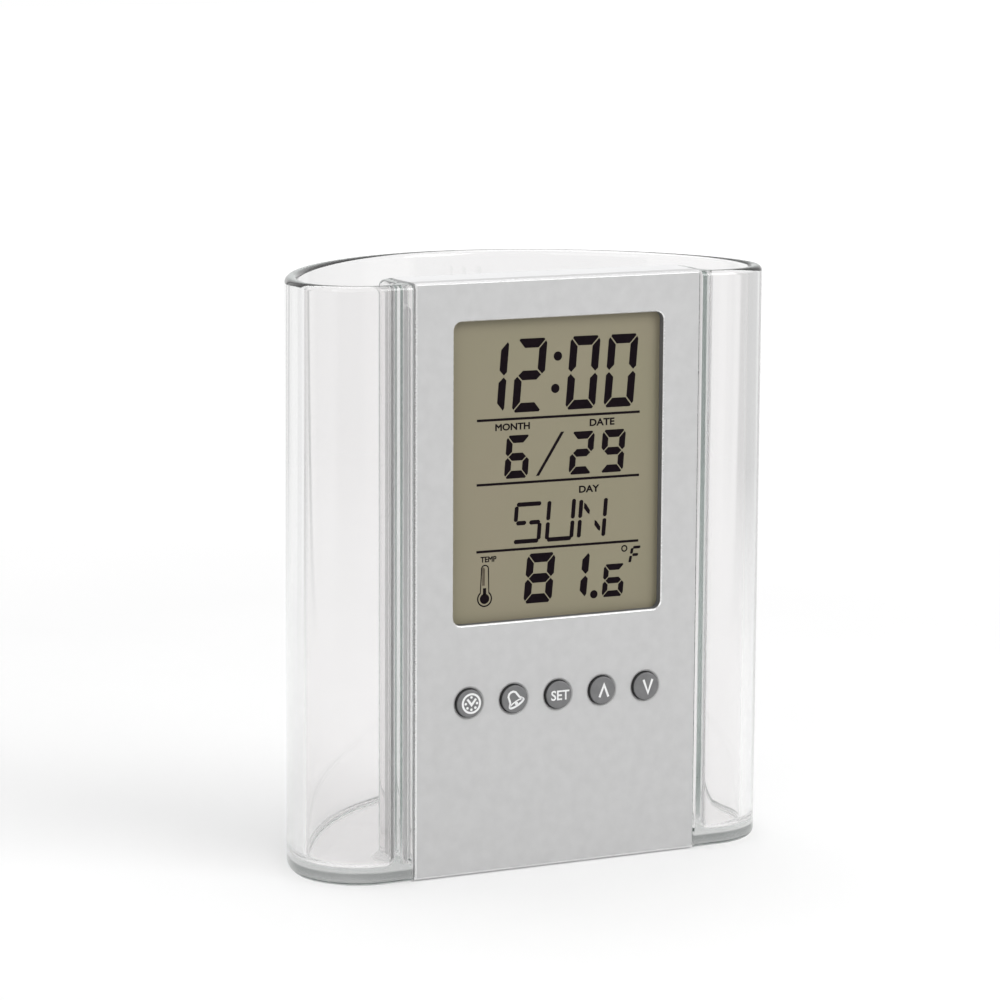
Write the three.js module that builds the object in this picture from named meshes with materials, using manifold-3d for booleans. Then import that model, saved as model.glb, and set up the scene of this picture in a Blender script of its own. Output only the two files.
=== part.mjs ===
// Pen holder clock: a clear oval cup whose front pocket holds a clock module that lifts out.
// Millimetres, +Z up, origin at the centre of the base, the clock faces -Y.
// "Depth" below means the distance behind the flat front of the cup.

import * as THREE from "three";
import { mergeVertices } from "three/addons/utils/BufferGeometryUtils.js";
import Module from "manifold-3d";

const wasm = await Module();
wasm.setup();

// Heights on the front panel, from the base up
const CHIN_HEIGHT = 34.4;
const KEY_TO_WINDOW = 15.3;
const WINDOW_HEIGHT = 58.8;
const PANEL_TOP_MARGIN = 7.7;
const PANEL_RISE = 0.2;
const CUP_HEIGHT = CHIN_HEIGHT + KEY_TO_WINDOW + WINDOW_HEIGHT + PANEL_TOP_MARGIN - PANEL_RISE;

// Cup
const CUP_WIDTH = 99.6;
const CUP_DEPTH = 56.8;
const CUP_WALL = 2.7;
const CUP_FLOOR = 3;
const CUP_BASE_RADIUS = 1.2;
const CUP_RIM_RADIUS = 1.2;
const CUP_INNER_RADIUS = 1.8;
const FRONT_CORNER_DEPTH = 13;
const FRONT_FLAT_MARGIN = 6.1;
const POCKET_FILLET = 2.1;
const POCKET_CORNER = 1.6;
const POCKET_BACK_WALL = 2.4;
const FRONT_CORNER_SHARES = [0.548, 0.522];
const BACK_CURVE_SHARES = [0.397, 0.566];

// Clearances
const SLIDE_GAP = 0.3;
const STACK_GAP = 0.05;
const OVERRUN = 2;

// Clock module shell
const PANEL_WIDTH = 61.2;
const PANEL_THICKNESS = 1.6;
const PANEL_CHAMFER = 0.4;
const SKIRT_DEPTH = 3.2;
const PARTING_GAP = 0.1;
const SHELL_WALL = 1.5;
const CASE_CORNER = 1.2;
const TONGUE_HEIGHT = 1;
const TONGUE_WIDTH = 1.8;
const TONGUE_DEPTH = 5;
const TONGUE_LEAD = 4;
const LIP_THICKNESS = 0.7;
const LIP_HEIGHT = 0.9;

// Display
const WINDOW_WIDTH = 45;
const WINDOW_CORNER = 1.6;
const WINDOW_LIP = 0.25;
const WINDOW_WALL_DEPTH = 1.8;
const WINDOW_WALL = 1.2;
const GLASS_MARGIN = 2.75;
const GLASS_THICKNESS = 0.7;
const GLASS_LEDGE = 2.6;
const FILM_THICKNESS = 0.2;
const FILM_INSET = 0.6;
const FRAME_WALL = 1.8;
const FRAME_TOP_WALL = 0.8;
const FRAME_LEG_WIDTH = 3;
const FRAME_LEG_THICKNESS = 1;
const FRAME_LEG_HEAD = 0.5;
const FRAME_LEG_SPREAD = 44;
const ZEBRA_WIDTH = 1.8;
const ZEBRA_END_MARGIN = 2;
const DISPLAY_TO_BOARD = 1.4;

// Circuit board and what it carries
const BOARD_THICKNESS = 1;
const BOARD_SIDE_GAP = 1.1;
const BOARD_BELOW_KEYS = 6.2;
const BOARD_CORNER = 1;
const CHIP_RADIUS = 6;
const CHIP_HEIGHT = 1.4;
const CHIP_RISE = 4;
const CRYSTAL_RADIUS = 1;
const CRYSTAL_LENGTH = 6;
const CRYSTAL_OFFSET = 14;
const THERMISTOR_RADIUS = 1.2;
const THERMISTOR_LENGTH = 3;
const THERMISTOR_DROP = 7;

// Keys
const KEY_COUNT = 5;
const KEY_PITCH = 9.6;
const KEY_DIAMETER = 5.8;
const KEY_CROWN = 0.5;
const KEY_PROUD = 0.9;
const KEY_TRAVEL = 0.8;
const KEY_GAP = 0.15;
const KEY_FLANGE = 0.85;
const KEY_FLANGE_THICKNESS = 0.9;
const KEY_PILL_DIAMETER = 4.4;
const KEY_HOLE_CHAMFER = 0.25;
const KEY_NAMES = ["button_time", "button_alarm", "button_set", "button_up", "button_down"];
const WEB_THICKNESS = 1;
const WEB_COLLAR = 0.4;
const WEB_COLLAR_WALL = 0.8;
const WEB_SIDE_MARGIN = 3.6;
const WEB_HEIGHT = 9;

// Battery bay
const CELL_DIAMETER = 11.6;
const CELL_THICKNESS = 5.4;
const CELL_RIM_STEP = 0.5;
const CELL_SPACING = 0.4;
const WELL_FRONT_GAP = 1.3;
const WELL_BOTTOM = 1;
const LEAF_THICKNESS = 0.25;
const LEAF_WIDTH = 4;
const LEAF_PAD = 7;
const LEAF_TAIL = 1.2;
const BRIDGE_REACH = 3;
const BRIDGE_HEIGHT = 4;
const DOOR_THICKNESS = 1.4;
const DOOR_MARGIN = 3;
const DOOR_TRAVEL = 4;
const DOOR_TONGUE = 1;
const DOOR_TONGUE_THICKNESS = 0.6;
const DOOR_TONGUE_HEIGHT = 3.4;
const GRIP_COUNT = 4;
const GRIP_WIDTH = 10;
const GRIP_PITCH = 1.3;
const GRIP_DEPTH = 0.4;

// Screws
const SCREW_SHANK = 2;
const SCREW_HEAD = 3.8;
const SCREW_HEAD_HEIGHT = 1.3;
const SCREW_SLOT = 0.7;
const SCREW_SLOT_LENGTH = 2.6;
const SCREW_GAP = 0.15;
const CASE_SCREW_BITE = 3.5;
const CASE_SCREW_SINK = 0.6;
const BOSS_FLOOR = 0.2;
const TUBE_WALL = 1;
const BOARD_SCREW_BITE = 2;
const BOSS_WALL = 1.3;
const BOSS_EDGE = 5;
const BOSS_ABOVE_KEYS = 7.8;
const BOARD_BOSS_INSET = 8;
const BOARD_BOSS_DROP = 3.4;
const LOWER_SCREW_HEIGHT = 8.6;

// Buzzer and vents
const BUZZER_DIAMETER = 20;
const BUZZER_CERAMIC = 13;
const BUZZER_LAYER = 0.25;
const BUZZER_RIB = 0.8;
const WIRE_DIAMETER = 0.9;
const WIRE_SPREAD = 3;
const WIRE_SAG = 6;
const VENT_COUNT = 5;
const VENT_WIDTH = 1.2;
const VENT_PITCH = 3;
const VENT_LENGTH = 11;
const SENSOR_VENT_COUNT = 3;
const SENSOR_VENT_LENGTH = 5;
const RIB_THICKNESS = 1.2;
const RIB_LENGTH = 8;

// Smoothness
const PLAN_STEPS = 13;
const CORNER_STEPS = 3;
const ROUND_STEPS = 3;
const ROUND_SIDES = 28;
const SMALL_SIDES = 16;
const WIRE_SIDES = 8;
const WIRE_STEPS = 10;

// Places worked out from the sizes above
const FRONT = (KEY_PROUD - CUP_DEPTH) / 2;
const BACK = FRONT + CUP_DEPTH;
const POCKET_WIDTH = PANEL_WIDTH + 2 * SLIDE_GAP;
const POCKET_OUTER = POCKET_WIDTH / 2 + CUP_WALL;
const PANEL_TOP = CUP_HEIGHT + PANEL_RISE;
const PANEL_BOTTOM = SLIDE_GAP;
const CASE_BOTTOM = CUP_FLOOR + SLIDE_GAP;
const KEY_ROW = CHIN_HEIGHT;
const WINDOW_BOTTOM = KEY_ROW + KEY_TO_WINDOW;
const WINDOW_CENTRE = WINDOW_BOTTOM + WINDOW_HEIGHT / 2;
const GLASS_WIDTH = WINDOW_WIDTH + 2 * GLASS_MARGIN;
const REAR_GLASS_HEIGHT = WINDOW_HEIGHT + 2 * FILM_INSET;
const FRONT_GLASS_HEIGHT = REAR_GLASS_HEIGHT + 2 * GLASS_LEDGE;
const FILM_FRONT = WINDOW_WALL_DEPTH + STACK_GAP;
const FRONT_GLASS_FRONT = FILM_FRONT + FILM_THICKNESS + STACK_GAP;
const REAR_GLASS_FRONT = FRONT_GLASS_FRONT + GLASS_THICKNESS + STACK_GAP;
const REFLECTOR_FRONT = REAR_GLASS_FRONT + GLASS_THICKNESS + STACK_GAP;
const BOARD_FRONT = REFLECTOR_FRONT + FILM_THICKNESS + DISPLAY_TO_BOARD;
const BOARD_BACK = BOARD_FRONT + BOARD_THICKNESS;
const BOARD_BOTTOM = KEY_ROW - BOARD_BELOW_KEYS;
const FRAME_TOP = WINDOW_CENTRE + FRONT_GLASS_HEIGHT / 2 + SCREW_GAP + FRAME_TOP_WALL;
const FRAME_BOTTOM = 2 * WINDOW_CENTRE - FRAME_TOP;
const BOARD_WIDTH = PANEL_WIDTH - 2 * (SHELL_WALL + BOARD_SIDE_GAP);
const WELL_FRONT = PANEL_THICKNESS + WELL_FRONT_GAP;
const LEAF_FRONT = WELL_FRONT + WELL_BOTTOM + STACK_GAP;
const CELL_FRONT = LEAF_FRONT + LEAF_THICKNESS + STACK_GAP;
const BRIDGE_FRONT = CELL_FRONT + CELL_THICKNESS + STACK_GAP;
const DOOR_FRONT = BRIDGE_FRONT + LEAF_THICKNESS + STACK_GAP;
const MODULE_DEPTH = DOOR_FRONT + DOOR_THICKNESS;
const CASE_INSIDE = MODULE_DEPTH - SHELL_WALL;
const CASE_FRONT = SKIRT_DEPTH + PARTING_GAP;
const POCKET_DEPTH = MODULE_DEPTH + SLIDE_GAP;
const POCKET_BACK = POCKET_DEPTH + POCKET_BACK_WALL;
const CELL_CENTRE = (CASE_BOTTOM + SHELL_WALL + BOARD_BOTTOM) / 2 + DOOR_TRAVEL / 4;
const CELL_OFFSET = (CELL_DIAMETER + CELL_SPACING) / 2;
const CELL_SEAT = CELL_DIAMETER / 2 + SLIDE_GAP;
const DOOR_WIDTH = 2 * (CELL_OFFSET + CELL_SEAT + DOOR_MARGIN);
const DOOR_TOP = CELL_CENTRE + CELL_SEAT + DOOR_MARGIN / 2;
const DOOR_BOTTOM = 2 * CELL_CENTRE - DOOR_TOP;
const DOOR_TONGUE_BOTTOMS = [DOOR_BOTTOM, DOOR_TOP - DOOR_TONGUE_HEIGHT];
const BOSS_SIDE = PANEL_WIDTH / 2 - BOSS_EDGE;
const BOSS_RADIUS = SCREW_SHANK / 2 + SCREW_GAP + BOSS_WALL;
const BOSS_MEET = BOARD_BACK + STACK_GAP;
const BUZZER_CENTRE = WINDOW_CENTRE;

const MATERIALS = {
  clear: { color: 0xf4f2f2, roughness: 0.05, metalness: 0, transparent: true, opacity: 0.3 },
  silver: { color: 0xc3c4c5, roughness: 0.42, metalness: 0.55 },
  casing: { color: 0xd4d5d6, roughness: 0.3, metalness: 0.35 },
  film: { color: 0x928b76, roughness: 0.35, metalness: 0 },
  glass: { color: 0xcfd4cc, roughness: 0.05, metalness: 0 },
  white: { color: 0xe6e6e2, roughness: 0.5, metalness: 0 },
  zebra: { color: 0xd9c7c2, roughness: 0.7, metalness: 0 },
  board: { color: 0x2f6b3a, roughness: 0.5, metalness: 0 },
  epoxy: { color: 0x17171a, roughness: 0.3, metalness: 0 },
  key: { color: 0x6f7072, roughness: 0.6, metalness: 0 },
  steel: { color: 0xb9bcc0, roughness: 0.3, metalness: 0.9 },
  brass: { color: 0xc9a44a, roughness: 0.3, metalness: 0.9 },
  red: { color: 0xb22222, roughness: 0.5, metalness: 0 },
  black: { color: 0x1a1a1c, roughness: 0.5, metalness: 0 },
};

const model = new THREE.Group();

// Turns a closed three.js geometry into a solid that can be joined and cut.
function toSolid(geometry) {
  const bare = geometry.clone();
  bare.deleteAttribute("normal");
  bare.deleteAttribute("uv");
  const merged = mergeVertices(bare);
  const vertProperties = new Float32Array(merged.attributes.position.array);
  const triVerts = new Uint32Array(merged.index.array);
  return new wasm.Manifold(new wasm.Mesh({ numProp: 3, vertProperties, triVerts }));
}

function toGeometry(solid) {
  const mesh = solid.getMesh();
  const geometry = new THREE.BufferGeometry();
  geometry.setAttribute("position", new THREE.BufferAttribute(mesh.vertProperties, 3));
  geometry.setIndex(new THREE.BufferAttribute(mesh.triVerts, 1));
  geometry.computeVertexNormals();
  return geometry;
}

function joined(parts) {
  return parts.reduce((whole, part) => whole.add(part));
}

function cut(body, tools) {
  return tools.reduce((whole, tool) => whole.subtract(tool), body);
}

// Adds one sub-part to the model under its own name.
function addPart(name, solid, material) {
  const mesh = new THREE.Mesh(toGeometry(solid), new THREE.MeshStandardMaterial(MATERIALS[material]));
  mesh.name = name;
  model.add(mesh);
}

// Lofts an outline through stations of height and outward growth, closed at both ends.
// The outline is a function of its growth and has the same number of points at each.
function loft(outlineAt, stations) {
  const rings = stations.map((station) => outlineAt(station.grow));
  const count = rings[0].length;
  const positions = [];
  rings.forEach((ring, index) => {
    for (const point of ring) {
      positions.push(point.x, point.y, stations[index].height);
    }
  });
  const triangles = [];
  for (let ring = 0; ring + 1 < stations.length; ring += 1) {
    for (let index = 0; index < count; index += 1) {
      const next = (index + 1) % count;
      const low = ring * count + index;
      const lowNext = ring * count + next;
      triangles.push(low, lowNext, lowNext + count);
      triangles.push(low, lowNext + count, low + count);
    }
  }
  const last = stations.length - 1;
  const top = last * count;
  for (const [a, b, c] of THREE.ShapeUtils.triangulateShape(rings[last], [])) {
    triangles.push(top + a, top + b, top + c);
  }
  for (const [a, b, c] of THREE.ShapeUtils.triangulateShape(rings[0], [])) {
    triangles.push(a, c, b);
  }
  const geometry = new THREE.BufferGeometry();
  geometry.setAttribute("position", new THREE.Float32BufferAttribute(positions, 3));
  geometry.setIndex(triangles);
  return toSolid(geometry);
}

// Stations of a quarter round: growth runs from 0 in by the radius, or out, as sign says.
function roundStations(start, end, radius, sign) {
  const stations = [];
  for (let step = 0; step <= ROUND_STEPS; step += 1) {
    const angle = (step / ROUND_STEPS) * (Math.PI / 2);
    const height = start + (end - start) * Math.sin(angle);
    stations.push({ height, grow: sign * radius * (1 - Math.cos(angle)) });
  }
  return stations;
}

// Stands a solid drawn in X and Z on the front face, running back by depth.
function standUp(solid, back) {
  return solid.rotate([90, 0, 0]).translate([0, FRONT + back, 0]);
}

// A prism whose outline is drawn as seen from the front, between two depths.
function plate(shape, front, back, steps = CORNER_STEPS) {
  const options = { depth: back - front, bevelEnabled: false, curveSegments: steps };
  return standUp(toSolid(new THREE.ExtrudeGeometry(shape, options)), back);
}

// A prism whose outline is drawn in plan, between two heights.
function column(shape, bottom, top, steps = CORNER_STEPS) {
  const options = { depth: top - bottom, bevelEnabled: false, curveSegments: steps };
  return toSolid(new THREE.ExtrudeGeometry(shape, options)).translate([0, 0, bottom]);
}

// A prism whose outline is drawn from the side, in depth and height, between two X places.
function sideProfile(points, left, right) {
  const outline = points.map(([depth, height]) => new THREE.Vector2(FRONT + depth, height));
  const shape = new THREE.Shape(outline);
  const options = { depth: right - left, bevelEnabled: false };
  const solid = toSolid(new THREE.ExtrudeGeometry(shape, options));
  return solid.rotate([90, 0, 90]).translate([left, 0, 0]);
}

function corners(left, bottom, right, top) {
  return [[left, bottom], [right, bottom], [right, top], [left, top]];
}

// A rectangle with its corners rounded, or sharp where the radius is 0.
function rectangle(left, bottom, right, top, radius = 0) {
  if (radius === 0) {
    return new THREE.Shape(corners(left, bottom, right, top).map(([x, y]) => new THREE.Vector2(x, y)));
  }
  const shape = new THREE.Shape();
  shape.absarc(right - radius, bottom + radius, radius, -Math.PI / 2, 0);
  shape.absarc(right - radius, top - radius, radius, 0, Math.PI / 2);
  shape.absarc(left + radius, top - radius, radius, Math.PI / 2, Math.PI);
  shape.absarc(left + radius, bottom + radius, radius, Math.PI, Math.PI * 1.5);
  return shape;
}

// A rectangle centred on X = 0 and on the given height.
function centred(height, width, tall, radius = 0) {
  return rectangle(-width / 2, height - tall / 2, width / 2, height + tall / 2, radius);
}

function circle(x, y, radius) {
  const shape = new THREE.Shape();
  shape.absarc(x, y, radius, 0, Math.PI * 2);
  return shape;
}

function slab(left, right, front, back, bottom, top) {
  return plate(rectangle(left, bottom, right, top), front, back);
}

function post(x, z, radius, front, back, sides = SMALL_SIDES) {
  return plate(circle(x, z, radius), front, back, sides / 2);
}

// A round piece turned about an axis that runs straight back from the front.
// The profile lists radius and depth, and runs from the axis at the front to the axis at the back.
function turned(x, z, profile, sides = SMALL_SIDES) {
  const points = profile.map(([radius, depth]) => new THREE.Vector2(radius, FRONT + depth));
  return toSolid(new THREE.LatheGeometry(points, sides)).translate([x, 0, z]);
}

// The distinct points of a closed outline.
function outlinePoints(shape, steps) {
  const points = shape.getPoints(steps);
  const closes = points[0].distanceTo(points[points.length - 1]) < STACK_GAP;
  return closes ? points.slice(0, -1) : points;
}

// A hole seen from the front whose sides open out towards the front face.
function flaredHole(outlineAt, depth, flareDepth, flare) {
  const stations = [
    { height: -(depth + OVERRUN), grow: 0 },
    { height: -flareDepth, grow: 0 },
    { height: 0, grow: flare },
    { height: OVERRUN, grow: flare },
  ];
  return standUp(loft(outlineAt, stations), 0);
}

// The plan of the cup: a flat front, tight front corners and a long curved back.
// Growth moves the front, the sides and the back out, and the curves follow them.
function cupOutline(grow) {
  const half = CUP_WIDTH / 2 + grow;
  const front = FRONT - grow;
  const back = BACK + grow;
  const flat = PANEL_WIDTH / 2 + FRONT_FLAT_MARGIN;
  const widest = FRONT + FRONT_CORNER_DEPTH;
  const [frontShare, sideShare] = FRONT_CORNER_SHARES;
  const [flankShare, backShare] = BACK_CURVE_SHARES;
  const frontHandle = flat + frontShare * (half - flat);
  const sideHandle = widest - sideShare * (widest - front);
  const flankHandle = widest + flankShare * (back - widest);
  const backHandle = backShare * half;
  const shape = new THREE.Shape();
  shape.moveTo(-flat, front);
  shape.lineTo(flat, front);
  shape.bezierCurveTo(frontHandle, front, half, sideHandle, half, widest);
  shape.bezierCurveTo(half, flankHandle, backHandle, back, 0, back);
  shape.bezierCurveTo(-backHandle, back, -half, flankHandle, -half, widest);
  shape.bezierCurveTo(-half, sideHandle, -frontHandle, front, -flat, front);
  return outlinePoints(shape, PLAN_STEPS);
}

// The plan of the pencil space: the cup's plan moved in by the wall, bent round the pocket.
function cavityOutline(grow) {
  const inner = cupOutline(grow - CUP_WALL);
  const filletRadius = POCKET_FILLET + grow;
  const filletX = POCKET_OUTER + POCKET_FILLET;
  const filletY = FRONT + CUP_WALL + POCKET_FILLET;
  const cornerRadius = POCKET_CORNER - grow;
  const cornerX = POCKET_OUTER - POCKET_CORNER;
  const cornerY = FRONT + POCKET_BACK - POCKET_CORNER;
  const pocket = new THREE.Path();
  pocket.absarc(-filletX, filletY, filletRadius, -Math.PI / 2, 0, false);
  pocket.absarc(-cornerX, cornerY, cornerRadius, Math.PI, Math.PI / 2, true);
  pocket.absarc(cornerX, cornerY, cornerRadius, Math.PI / 2, 0, true);
  pocket.absarc(filletX, filletY, filletRadius, Math.PI, Math.PI * 1.5, false);
  return [...inner.slice(1), inner[0], ...pocket.getPoints(CORNER_STEPS)];
}

function buildCup() {
  const baseStations = roundStations(CUP_BASE_RADIUS, 0, CUP_BASE_RADIUS, -1).reverse();
  const rimStations = roundStations(CUP_HEIGHT - CUP_RIM_RADIUS, CUP_HEIGHT, CUP_RIM_RADIUS, -1);
  const outer = loft(cupOutline, [...baseStations, ...rimStations]);
  const floorStart = CUP_FLOOR + CUP_INNER_RADIUS;
  const floorStations = roundStations(floorStart, CUP_FLOOR, CUP_INNER_RADIUS, -1).reverse();
  const lipStations = roundStations(CUP_HEIGHT - CUP_RIM_RADIUS, CUP_HEIGHT, CUP_RIM_RADIUS, 1);
  const above = { height: CUP_HEIGHT + OVERRUN, grow: CUP_RIM_RADIUS };
  const cavity = loft(cavityOutline, [...floorStations, ...lipStations, above]);
  const side = POCKET_WIDTH / 2;
  const pocket = rectangle(-side, FRONT - OVERRUN, side, FRONT + POCKET_DEPTH);
  const chin = rectangle(-side, FRONT - OVERRUN, side, FRONT + PANEL_THICKNESS + SLIDE_GAP);
  const grooveSide = PANEL_WIDTH / 2 + TONGUE_HEIGHT + SLIDE_GAP;
  const grooveFront = FRONT + TONGUE_DEPTH - SLIDE_GAP;
  const grooveBack = FRONT + TONGUE_DEPTH + TONGUE_WIDTH + SLIDE_GAP;
  const groove = rectangle(-grooveSide, grooveFront, grooveSide, grooveBack);
  const cuts = [
    cavity,
    column(pocket, CUP_FLOOR, CUP_HEIGHT + OVERRUN),
    column(groove, CUP_FLOOR, CUP_HEIGHT + OVERRUN),
    column(chin, -OVERRUN, CUP_FLOOR + OVERRUN),
  ];
  addPart("clear_cup", cut(outer, cuts), "clear");
}

// Where each key sits along the row, and the screw places in X and Z.
function keyPlace(index) {
  return (index - (KEY_COUNT - 1) / 2) * KEY_PITCH;
}

function caseScrewPlaces() {
  const upper = KEY_ROW + BOSS_ABOVE_KEYS;
  return [-1, 1].flatMap((side) => [[side * BOSS_SIDE, upper], [side * BOSS_SIDE, LOWER_SCREW_HEIGHT]]);
}

function boardScrewPlaces() {
  const upper = KEY_ROW + BOSS_ABOVE_KEYS;
  const lower = KEY_ROW - BOARD_BOSS_DROP;
  const inner = BOSS_SIDE - BOARD_BOSS_INSET;
  return [-1, 1].flatMap((side) => [[side * inner, upper], [side * BOSS_SIDE, lower]]);
}

// A round boss on the back of the panel with a blind hole for a screw.
function panelBoss([x, z], back) {
  const start = PANEL_THICKNESS - STACK_GAP;
  const hole = post(x, z, SCREW_SHANK / 2 + SCREW_GAP, PANEL_THICKNESS + BOSS_FLOOR, back + OVERRUN);
  return { boss: post(x, z, BOSS_RADIUS, start, back), hole };
}

// The outline of the panel's face, grown on every side.
function faceOutline(grow) {
  const half = PANEL_WIDTH / 2 + grow;
  return outlinePoints(rectangle(-half, PANEL_BOTTOM - grow, half, PANEL_TOP + grow), 1);
}

// The outline of the display window, grown on every side.
function windowShape(grow) {
  const [width, tall] = [WINDOW_WIDTH, WINDOW_HEIGHT].map((size) => size + 2 * grow);
  return centred(WINDOW_CENTRE, width, tall, WINDOW_CORNER + grow);
}

function buildPanel() {
  const faceStations = [
    { height: -PANEL_THICKNESS, grow: 0 },
    { height: -PANEL_CHAMFER, grow: 0 },
    { height: 0, grow: -PANEL_CHAMFER },
  ];
  const facePlate = standUp(loft(faceOutline, faceStations), 0);
  const half = PANEL_WIDTH / 2;
  const inside = half - SHELL_WALL;
  const skirt = slab(-half, half, PANEL_THICKNESS - STACK_GAP, SKIRT_DEPTH, CASE_BOTTOM, PANEL_TOP);
  const skirtTop = PANEL_TOP - SHELL_WALL;
  const hollowBack = SKIRT_DEPTH + OVERRUN;
  const hollow = slab(-inside, inside, PANEL_THICKNESS, hollowBack, CASE_BOTTOM + SHELL_WALL, skirtTop);
  const windowWall = plate(windowShape(WINDOW_WALL), PANEL_THICKNESS - STACK_GAP, WINDOW_WALL_DEPTH);
  const windowAt = (grow) => outlinePoints(windowShape(grow), CORNER_STEPS);
  const window = flaredHole(windowAt, WINDOW_WALL_DEPTH, WINDOW_LIP, WINDOW_LIP);
  const keyHoles = KEY_NAMES.map((name, index) => {
    const radius = KEY_DIAMETER / 2 + KEY_GAP;
    const hole = (grow) => circle(keyPlace(index), KEY_ROW, radius + grow);
    const holeAt = (grow) => outlinePoints(hole(grow), ROUND_SIDES / 2);
    return flaredHole(holeAt, PANEL_THICKNESS, KEY_HOLE_CHAMFER, KEY_HOLE_CHAMFER);
  });
  const caseBosses = caseScrewPlaces().map((place) => panelBoss(place, BOSS_MEET));
  const boardBosses = boardScrewPlaces().map((place) => panelBoss(place, BOARD_FRONT - STACK_GAP));
  const bosses = [...caseBosses, ...boardBosses];
  const posts = bosses.map(({ boss }) => boss);
  const screwHoles = bosses.map(({ hole }) => hole);
  const shell = joined([facePlate, skirt.subtract(hollow), windowWall, ...posts]);
  addPart("front_panel", cut(shell, [window, ...keyHoles, ...screwHoles]), "silver");
}

// The plan of the rear case: square where it meets the panel, rounded behind.
function casePlan() {
  const half = PANEL_WIDTH / 2;
  const front = FRONT + CASE_FRONT;
  const back = FRONT + MODULE_DEPTH;
  const shape = new THREE.Shape();
  shape.moveTo(-half, front);
  shape.lineTo(half, front);
  shape.absarc(half - CASE_CORNER, back - CASE_CORNER, CASE_CORNER, 0, Math.PI / 2);
  shape.absarc(CASE_CORNER - half, back - CASE_CORNER, CASE_CORNER, Math.PI / 2, Math.PI);
  return shape;
}

// A tongue along one side of the case that runs in the groove of the pocket wall.
function caseTongue(side) {
  const root = PANEL_WIDTH / 2 - STACK_GAP;
  const tip = PANEL_WIDTH / 2 + TONGUE_HEIGHT;
  const top = CUP_HEIGHT - TONGUE_LEAD;
  const outline = [
    [root, CASE_BOTTOM],
    [tip, CASE_BOTTOM + TONGUE_HEIGHT],
    [tip, top - TONGUE_HEIGHT],
    [root, top],
  ];
  const shape = new THREE.Shape(outline.map(([x, z]) => new THREE.Vector2(side * x, z)));
  return plate(shape, TONGUE_DEPTH, TONGUE_DEPTH + TONGUE_WIDTH);
}

// A thin lip inside the parting line that locates the case in the panel's skirt.
function locatingLip(side) {
  const wallInside = PANEL_WIDTH / 2 - SHELL_WALL;
  const outside = wallInside - PARTING_GAP;
  const inside = outside - LIP_THICKNESS;
  const front = CASE_FRONT - LIP_HEIGHT;
  const plan = [
    [inside, front],
    [outside, front],
    [outside, CASE_FRONT],
    [wallInside + STACK_GAP, CASE_FRONT],
    [wallInside + STACK_GAP, CASE_FRONT + LIP_HEIGHT],
    [inside, CASE_FRONT + LIP_HEIGHT],
  ];
  const shape = new THREE.Shape(plan.map(([x, depth]) => new THREE.Vector2(side * x, FRONT + depth)));
  return column(shape, FRAME_BOTTOM, FRAME_TOP);
}

// The moulded bay that seats the two cells side by side, and the tools that open it. Its rails
// hold the closed door, and their notches let the door's tongues out once it has slid down.
function batteryBay() {
  const reach = DOOR_WIDTH / 2 + DOOR_TONGUE + SLIDE_GAP;
  const side = reach + SHELL_WALL;
  const top = DOOR_TOP + SLIDE_GAP + SHELL_WALL;
  const skirtClear = CASE_BOTTOM + SHELL_WALL + SLIDE_GAP;
  const rearBlock = slab(-side, side, CASE_FRONT, MODULE_DEPTH - STACK_GAP, CASE_BOTTOM + STACK_GAP, top);
  const block = rearBlock.add(slab(-side, side, WELL_FRONT, CASE_FRONT + STACK_GAP, skirtClear, top));
  const mouth = MODULE_DEPTH + OVERRUN;
  const seats = [-1, 1].map((hand) => {
    return post(hand * CELL_OFFSET, CELL_CENTRE, CELL_SEAT, WELL_FRONT + WELL_BOTTOM, mouth, ROUND_SIDES);
  });
  const slits = [-1, 1].map((hand) => {
    const middle = hand * CELL_OFFSET;
    const breadth = LEAF_WIDTH / 2 + SLIDE_GAP;
    const slitFront = WELL_FRONT + WELL_BOTTOM;
    const slitBack = LEAF_FRONT + LEAF_THICKNESS + SLIDE_GAP;
    return slab(middle - breadth, middle + breadth, slitFront, slitBack, CELL_CENTRE, top + OVERRUN);
  });
  const bridge = CELL_OFFSET + BRIDGE_REACH + SLIDE_GAP;
  const bridgeBottom = CELL_CENTRE - BRIDGE_HEIGHT / 2 - DOOR_TRAVEL - SLIDE_GAP;
  const bridgeTop = CELL_CENTRE + BRIDGE_HEIGHT / 2 + SLIDE_GAP;
  const relief = slab(-bridge, bridge, BRIDGE_FRONT - SLIDE_GAP, mouth, bridgeBottom, bridgeTop);
  const doorSide = DOOR_WIDTH / 2 + SLIDE_GAP;
  const low = DOOR_BOTTOM - DOOR_TRAVEL - SLIDE_GAP;
  const high = DOOR_TOP + SLIDE_GAP;
  const recess = slab(-doorSide, doorSide, DOOR_FRONT - STACK_GAP, mouth, low, high);
  const railFront = DOOR_FRONT + DOOR_TONGUE_THICKNESS + SLIDE_GAP;
  const slots = slab(-reach, reach, DOOR_FRONT - STACK_GAP, railFront, low, high);
  const notches = DOOR_TONGUE_BOTTOMS.map((bottom) => {
    const slid = bottom - DOOR_TRAVEL;
    return slab(-reach, reach, railFront - STACK_GAP, mouth, slid - SLIDE_GAP, slid + DOOR_TONGUE_HEIGHT + SLIDE_GAP);
  });
  return { block, cuts: [...seats, ...slits, relief, recess, slots, ...notches] };
}

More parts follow.
